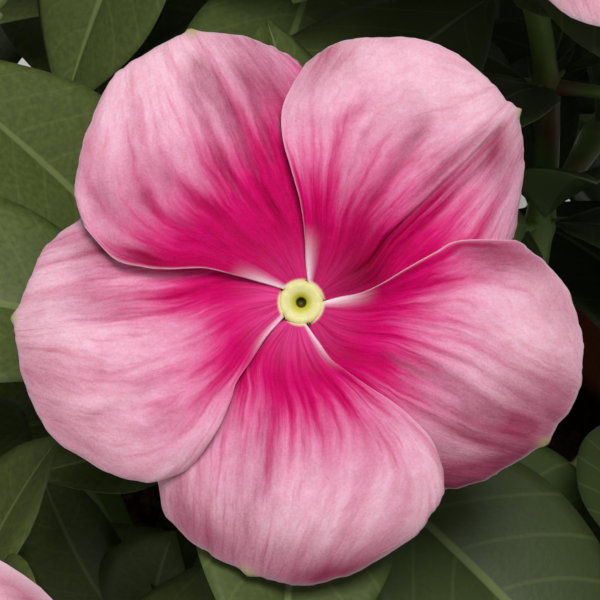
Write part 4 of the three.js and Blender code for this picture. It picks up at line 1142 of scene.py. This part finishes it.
def makeSoil():
    # An uneven mound inside the pot, closed below, then crumbs and perlite strewn over its top.
    rings, turns, slack = soil["rings"], soil["turns"], soil["slack"]
    neck = pot["neckRadius"] - pot["wall"] - slack
    edge = neck + (soil["top"] - bandFoot) * 0.15
    plan = [spot for j in range(1, rings + 1) for spot in ringPoints(edge * j / rings, 0, turns)]
    jitter = np.random.RandomState(11).uniform(-soil["jitter"], soil["jitter"], len(plan))
    points = [(x, y, soilHeight(x, y) + float(d)) for (x, y, _), d in zip(plan, jitter)]
    centre, rim = len(points), len(points) - turns
    surface = [face[::-1] for face in gridFaces(rings - 1, turns, closed=True)]
    surface += [(i, (i + 1) % turns, centre) for i in range(turns)]
    points.append((0, 0, soilHeight(0, 0)))
    sheetPoints = [(x * 0.97 * mm, y * 0.97 * mm, z * mm) for x, y, z in points]
    low = len(points)
    points += ringPoints(neck, bandFoot, turns) + ringPoints(floorRadius - slack, pot["floor"] + 0.3, turns)
    walls = []
    for i in range(turns):
        k = (i + 1) % turns
        walls += [(rim + k, rim + i, low + i, low + k), (low + k, low + i, low + turns + i, low + turns + k)]
    base = [tuple(low + turns + i for i in range(turns))[::-1]]
    shape = Shape()
    shape.add(points, surface + walls + base)
    shape.build("potting_soil", [peatFinish], ["soil"])
    area = math.pi * (edge * mm) ** 2
    tree = scatterTree()
    strewn = [("soil_crumbs", soil["crumbs"], 0.5, 1.9, 3, barkFinish),  # count, sizes in mm, and seed
              ("soil_perlite", soil["perlite"], 0.7, 1.7, 9, perliteFinish)]
    for name, count, small, large, seed, finish in strewn:
        sheet = bpy.data.meshes.new(name)
        sheet.from_pydata(sheetPoints, [], surface)
        mesh = evaluated(bpy.data.objects.new(name, sheet), tree,
                         {"Density": count / area, "Smallest": small * mm, "Largest": large * mm,
                          "Seed": seed, "Finish": finish})
        settle(bpy.data.objects.new(name, mesh))
        print(name, len(mesh.polygons), "faces")


makeSoil()
print("soil ready")


# Floor, light and camera

hero = stems[0]["shoots"][0]
view = {"distance": 305, "frameWidth": 54.83, "sensor": 36, "aside": -0.11, "rise": 0.228}  # mm
studio = {"floorSize": 6, "world": 0.24, "lamps": {  # metres; each lamp's way, distance, size and watts
    "keyLight": ((0.1, -0.3, 0.95), 1.2, 0.4, 12.2), "fillLight": ((-0.8, -0.7, 0.55), 1.6, 1.4, 4)}}


def makeStage():
    bpy.ops.mesh.primitive_plane_add(size=studio["floorSize"], location=(0, 0, 0))
    floor = bpy.context.object
    floor.name = "studioFloor"
    floor.data.materials.append(newFinish("paleFloor", Base_Color=hexColour("#e6e4df"), Roughness=0.8)[0])
    world = bpy.data.worlds.new("softStudio")
    world.use_nodes = True
    world.node_tree.nodes["Background"].inputs[0].default_value = hexColour("#e9edf2")
    world.node_tree.nodes["Background"].inputs[1].default_value = studio["world"]
    bpy.context.scene.world = world
    bpy.context.scene.view_settings.view_transform = "Standard"
    for name, (way, distance, size, watts) in studio["lamps"].items():
        light = bpy.data.lights.new(name, "AREA")
        light.size = size
        light.energy = watts
        lamp = bpy.data.objects.new(name, light)
        heading = Vector(way).normalized()
        lamp.location = Vector(hero["at"]) * mm + heading * distance
        lamp.rotation_euler = heading.to_track_quat("Z", "Y").to_euler()
        bpy.context.scene.collection.objects.link(lamp)


def makeCamera():
    # Head-on to the first bloom, from far enough that its petals aren't drawn out of shape.
    face = facing(hero["bearing"], hero["slope"])
    right = squareTo(facing(hero["bearing"] + 90, 0), face)
    above = face.cross(right)
    data = bpy.data.cameras.new("photoCamera")
    data.sensor_width = view["sensor"]
    data.lens = view["sensor"] * view["distance"] / view["frameWidth"]
    data.clip_start = 0.01
    camera = bpy.data.objects.new("photoCamera", data)
    spot = (Vector(hero["at"]) + right * view["aside"] + above * view["rise"] + face * view["distance"]) * mm
    turn = Matrix((right, above, face)).transposed().to_4x4()
    camera.matrix_world = Matrix.Translation(spot) @ turn
    bpy.context.scene.collection.objects.link(camera)
    bpy.context.scene.camera = camera


makeStage()
makeCamera()
